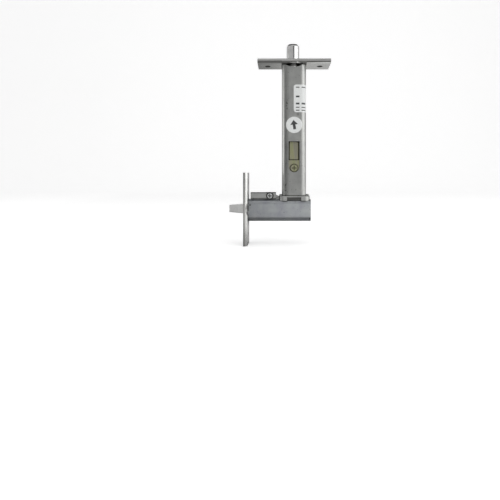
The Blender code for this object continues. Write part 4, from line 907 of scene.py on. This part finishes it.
def wound(name, start, end, material):
    """A coil along X from start to end in mm, with closed turns at both ends."""
    turns = OPEN_TURNS + 2 * CLOSED_TURNS
    closed = CLOSED_TURNS * 2 * WIRE_RADIUS
    knots = [(0, start), (CLOSED_TURNS, start + closed), (turns - CLOSED_TURNS, end - closed),
             (turns, end)]
    path = bpy.data.curves.new(name, "CURVE")
    path.dimensions = "3D"
    path.bevel_depth = WIRE_RADIUS * MM
    path.bevel_resolution = 3
    path.use_fill_caps = True
    count = int(turns * POINTS_A_TURN)
    line = path.splines.new("POLY")
    line.points.add(count)
    for i, point in enumerate(line.points):
        turn = turns * i / count
        low, high = next(pair for pair in zip(knots, knots[1:]) if turn <= pair[1][0])
        x = low[1] + (high[1] - low[1]) * (turn - low[0]) / (high[0] - low[0])
        angle = 2 * math.pi * turn
        point.co = (x * MM, (COIL_MIDDLE[1] + COIL_RADIUS * math.cos(angle)) * MM,
                    (COIL_MIDDLE[2] + COIL_RADIUS * math.sin(angle)) * MM, 1)
    former = bpy.data.objects.new(name + "_path", path)
    mesh = bpy.data.meshes.new_from_object(former)
    bpy.data.objects.remove(former)
    mesh.name = name
    mesh.shade_smooth()
    mesh.materials.clear()
    mesh.materials.append(material)
    return put_in_scene(name, mesh)


spring = wound("wound_trigger_spring", COIL_LOW[0] + WIRE_RADIUS, COIL_HIGH[0] - WIRE_RADIUS, wire)
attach(spring, "trigger")
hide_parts("trigger_spring")
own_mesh(spring)

# %% [markdown]
# ## Paper stickers
# Two paper stickers lie on the tube: a round one on the flat front, and a taller one that bends
# round the right hand corner. Each is drawn flat, as a grid of distances along and up, and one
# function bends that grid round the tube's section. What was printed on them isn't copied: the
# round one has a plain arrow for the bolt's travel, the other a few bars where text would be.

# %% A function that bends a flat sheet round the tube
TUBE_CORNER = 5.2 * MM
PAPER = 0.08 * MM
PAPER_LIFT = 0.03 * MM
INK_LIFT = PAPER_LIFT + PAPER + 0.01 * MM
SHEET_COLUMNS = 28

tube_low, tube_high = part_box("bolt_tube")
tube_x = (tube_low[0] + tube_high[0]) / 2
half_width = (tube_high[0] - tube_low[0]) / 2
half_depth = -tube_low[1]
trigger_low, trigger_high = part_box("trigger")
trigger_z = (trigger_low[2] + trigger_high[2]) / 2


def round_the_tube(along, up, lift):
    """Point on the tube at a distance along its section from the front's middle, lifted off it."""
    side = 1 if along >= 0 else -1
    flat = half_width - TUBE_CORNER
    bend = TUBE_CORNER * math.pi / 2
    distance = abs(along)
    if distance <= flat:
        x, y = distance, -half_depth - lift
    elif distance <= flat + bend:
        angle = (distance - flat) / TUBE_CORNER
        x = flat + (TUBE_CORNER + lift) * math.sin(angle)
        y = TUBE_CORNER - half_depth - (TUBE_CORNER + lift) * math.cos(angle)
    else:
        x, y = half_width + lift, TUBE_CORNER - half_depth + distance - flat - bend
    return (tube_x + side * x, y, up)


def sheet_of_rows(name, rows, lift, thickness, material):
    """A bent sheet. Each row is a height with the left and right ends of the paper there."""
    bent = bmesh.new()
    grid = []
    for up, left, right in rows:
        stops = [left + (right - left) * i / SHEET_COLUMNS for i in range(SHEET_COLUMNS + 1)]
        grid.append([bent.verts.new(round_the_tube(stop, up, lift)) for stop in stops])
    for lower, upper in zip(grid, grid[1:]):
        for i in range(SHEET_COLUMNS):
            bent.faces.new((lower[i], lower[i + 1], upper[i + 1], upper[i]))
    obj = finished(bent, name, material)
    if thickness:
        solid = obj.modifiers.new("paper", "SOLIDIFY")
        solid.thickness = thickness
        solid.offset = 1.0
    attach(obj, "case")
    return obj


print("tube middle, mm:", round(tube_x / MM, 2))

# %% [markdown]
# ### Paper and ink
# Label paper is bright, slightly warm and faintly fibrous. The ink is a soft black, a little
# glossier than the paper.

# %% Paper and ink materials
FIBRE_MM = 0.5
FIBRE_DEPTH = 0.01 * MM


def label_paper():
    material, tree, shader = new_material("label_paper_calendered", "#d8dad9",
                                          metallic=0.0, roughness=0.45)
    place = add_node(tree, "TexCoord")
    fibre = add_node(tree, "TexNoise", {"Vector": place.outputs["Object"],
                                        "Scale": per_metre(FIBRE_MM), "Detail": 4.0})
    tint = add_node(tree, "ValToRGB", {"Fac": fibre.outputs["Fac"]},
                    stops=[(0.35, "#d3d5d4"), (0.65, "#dfe1e0")])
    tree.links.new(tint.outputs[0], shader.inputs["Base Color"])
    bump = add_node(tree, "Bump", {"Height": fibre.outputs["Fac"], "Strength": 0.2,
                                   "Distance": FIBRE_DEPTH})
    tree.links.new(bump.outputs[0], shader.inputs["Normal"])
    return material


def label_ink():
    material, tree, shader = new_material("label_ink_printed", "#3a3b3c",
                                          metallic=0.0, roughness=0.35)
    place = add_node(tree, "TexCoord")
    patch = add_node(tree, "TexNoise", {"Vector": place.outputs["Object"],
                                        "Scale": per_metre(FIBRE_MM), "Detail": 2.0})
    tint = add_node(tree, "ValToRGB", {"Fac": patch.outputs["Fac"]},
                    stops=[(0.3, "#323334"), (0.75, "#4a4b4c")])
    tree.links.new(tint.outputs[0], shader.inputs["Base Color"])
    return material


paper = label_paper()
ink = label_ink()
print("paper thickness, mm:", PAPER / MM)

# %% [markdown]
# ### The round sticker
# Its rows are chords of a circle, closer together near the top and bottom, where a circle turns
# fastest. The arrow is one outline on the flat front, set a little crooked, as by hand.

# %% Round sticker with an arrow
STICKER_RADIUS = 7.8 * MM
STICKER_UP = trigger_z + 80.5 * MM
STICKER_ROWS = 40
# the first and last rows stay a little wider than a point
LEAST_REACH = 0.02 * MM


def circle_rows(radius, middle, count):
    """Rows of a circle, from bottom to top."""
    rows = []
    for i in range(count + 1):
        angle = math.pi * (i / count - 0.5)
        reach = max(radius * math.cos(angle), LEAST_REACH)
        rows.append((middle + radius * math.sin(angle), -reach, reach))
    return rows


sheet_of_rows("round_sticker", circle_rows(STICKER_RADIUS, STICKER_UP, STICKER_ROWS),
              PAPER_LIFT, PAPER, paper)
ARROW_TILT = math.radians(8)
# across and up in mm, from the shaft's lower left corner on
ARROW = [(-1.3, -4.3), (1.3, -4.3), (1.3, 0.3), (3.7, 0.3), (0.0, 4.7), (-3.7, 0.3), (-1.3, 0.3)]
SHAFT = (0, 1, 2, 6)
POINT = (3, 4, 5)


def printed(name, outline, tilt):
    """A flat ink shape on the round sticker, from an outline in mm about its middle."""
    turned = [(along * math.cos(tilt) - up * math.sin(tilt),
               along * math.sin(tilt) + up * math.cos(tilt)) for along, up in outline]
    places = [round_the_tube(along * MM, STICKER_UP + up * MM, INK_LIFT) for along, up in turned]
    mesh = bpy.data.meshes.new(name)
    mesh.from_pydata(places, [], [SHAFT, POINT])
    mesh.materials.append(ink)
    obj = put_in_scene(name, mesh)
    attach(obj, "case")


printed("sticker_arrow", ARROW, ARROW_TILT)
print("round sticker across, mm:", 2 * STICKER_RADIUS / MM)

# %% [markdown]
# ### The tall label
# The tall label starts just left of the front's middle and runs round the corner onto the side.
# Its corners are rounded by pulling in the ends of the first and last rows.

# %% Tall label with bars
LABEL_LOW = trigger_z + 92.6 * MM
LABEL_HIGH = trigger_z + 119.0 * MM
LABEL_LEFT = -0.5 * MM
LABEL_RIGHT = 21.0 * MM
LABEL_CORNER = 2.4 * MM


def rounded_rows(low, high, left, right, corner, count=10):
    """Rows of a sheet with rounded corners, from bottom to top."""
    rows = []
    for i in range(count + 1):
        angle = math.pi / 2 * i / count
        inset = corner * (1 - math.sin(angle))
        rows.append((low + corner * (1 - math.cos(angle)), left + inset, right - inset))
    tops = [(low + high - up, a, b) for up, a, b in reversed(rows)]
    return rows + tops


def bar(name, low, high, left, right):
    """A flat bar of ink on the tall label."""
    sheet_of_rows(name, [(low, left, right), (high, left, right)], INK_LIFT, 0, ink)


sheet_of_rows("tall_label", rounded_rows(LABEL_LOW, LABEL_HIGH, LABEL_LEFT, LABEL_RIGHT,
                                         LABEL_CORNER), PAPER_LIFT, PAPER, paper)
# each row's height on the label, how thick its bars are, and how many there are
BAR_ROWS = ((1.4, 0.9, 4), (4.2, 0.9, 3), (7.4, 1.7, 2), (14.2, 1.6, 1), (23.4, 0.9, 3))
BAR_MARGIN_MM = 2.2
BAR_EVERY_MM = 5.4
BAR_WIDTHS_MM = (3.4, 4.2)
for row, (up_mm, height_mm, words) in enumerate(BAR_ROWS):
    low = LABEL_LOW + up_mm * MM
    for word in range(words):
        left = LABEL_LEFT + (BAR_MARGIN_MM + BAR_EVERY_MM * word) * MM
        width = BAR_WIDTHS_MM[word % 2] * MM
        bar(f"label_bar_{row + 1}_{word + 1}", low, low + height_mm * MM, left, left + width)
print("tall label, mm:", (LABEL_RIGHT - LABEL_LEFT) / MM, "by", (LABEL_HIGH - LABEL_LOW) / MM)
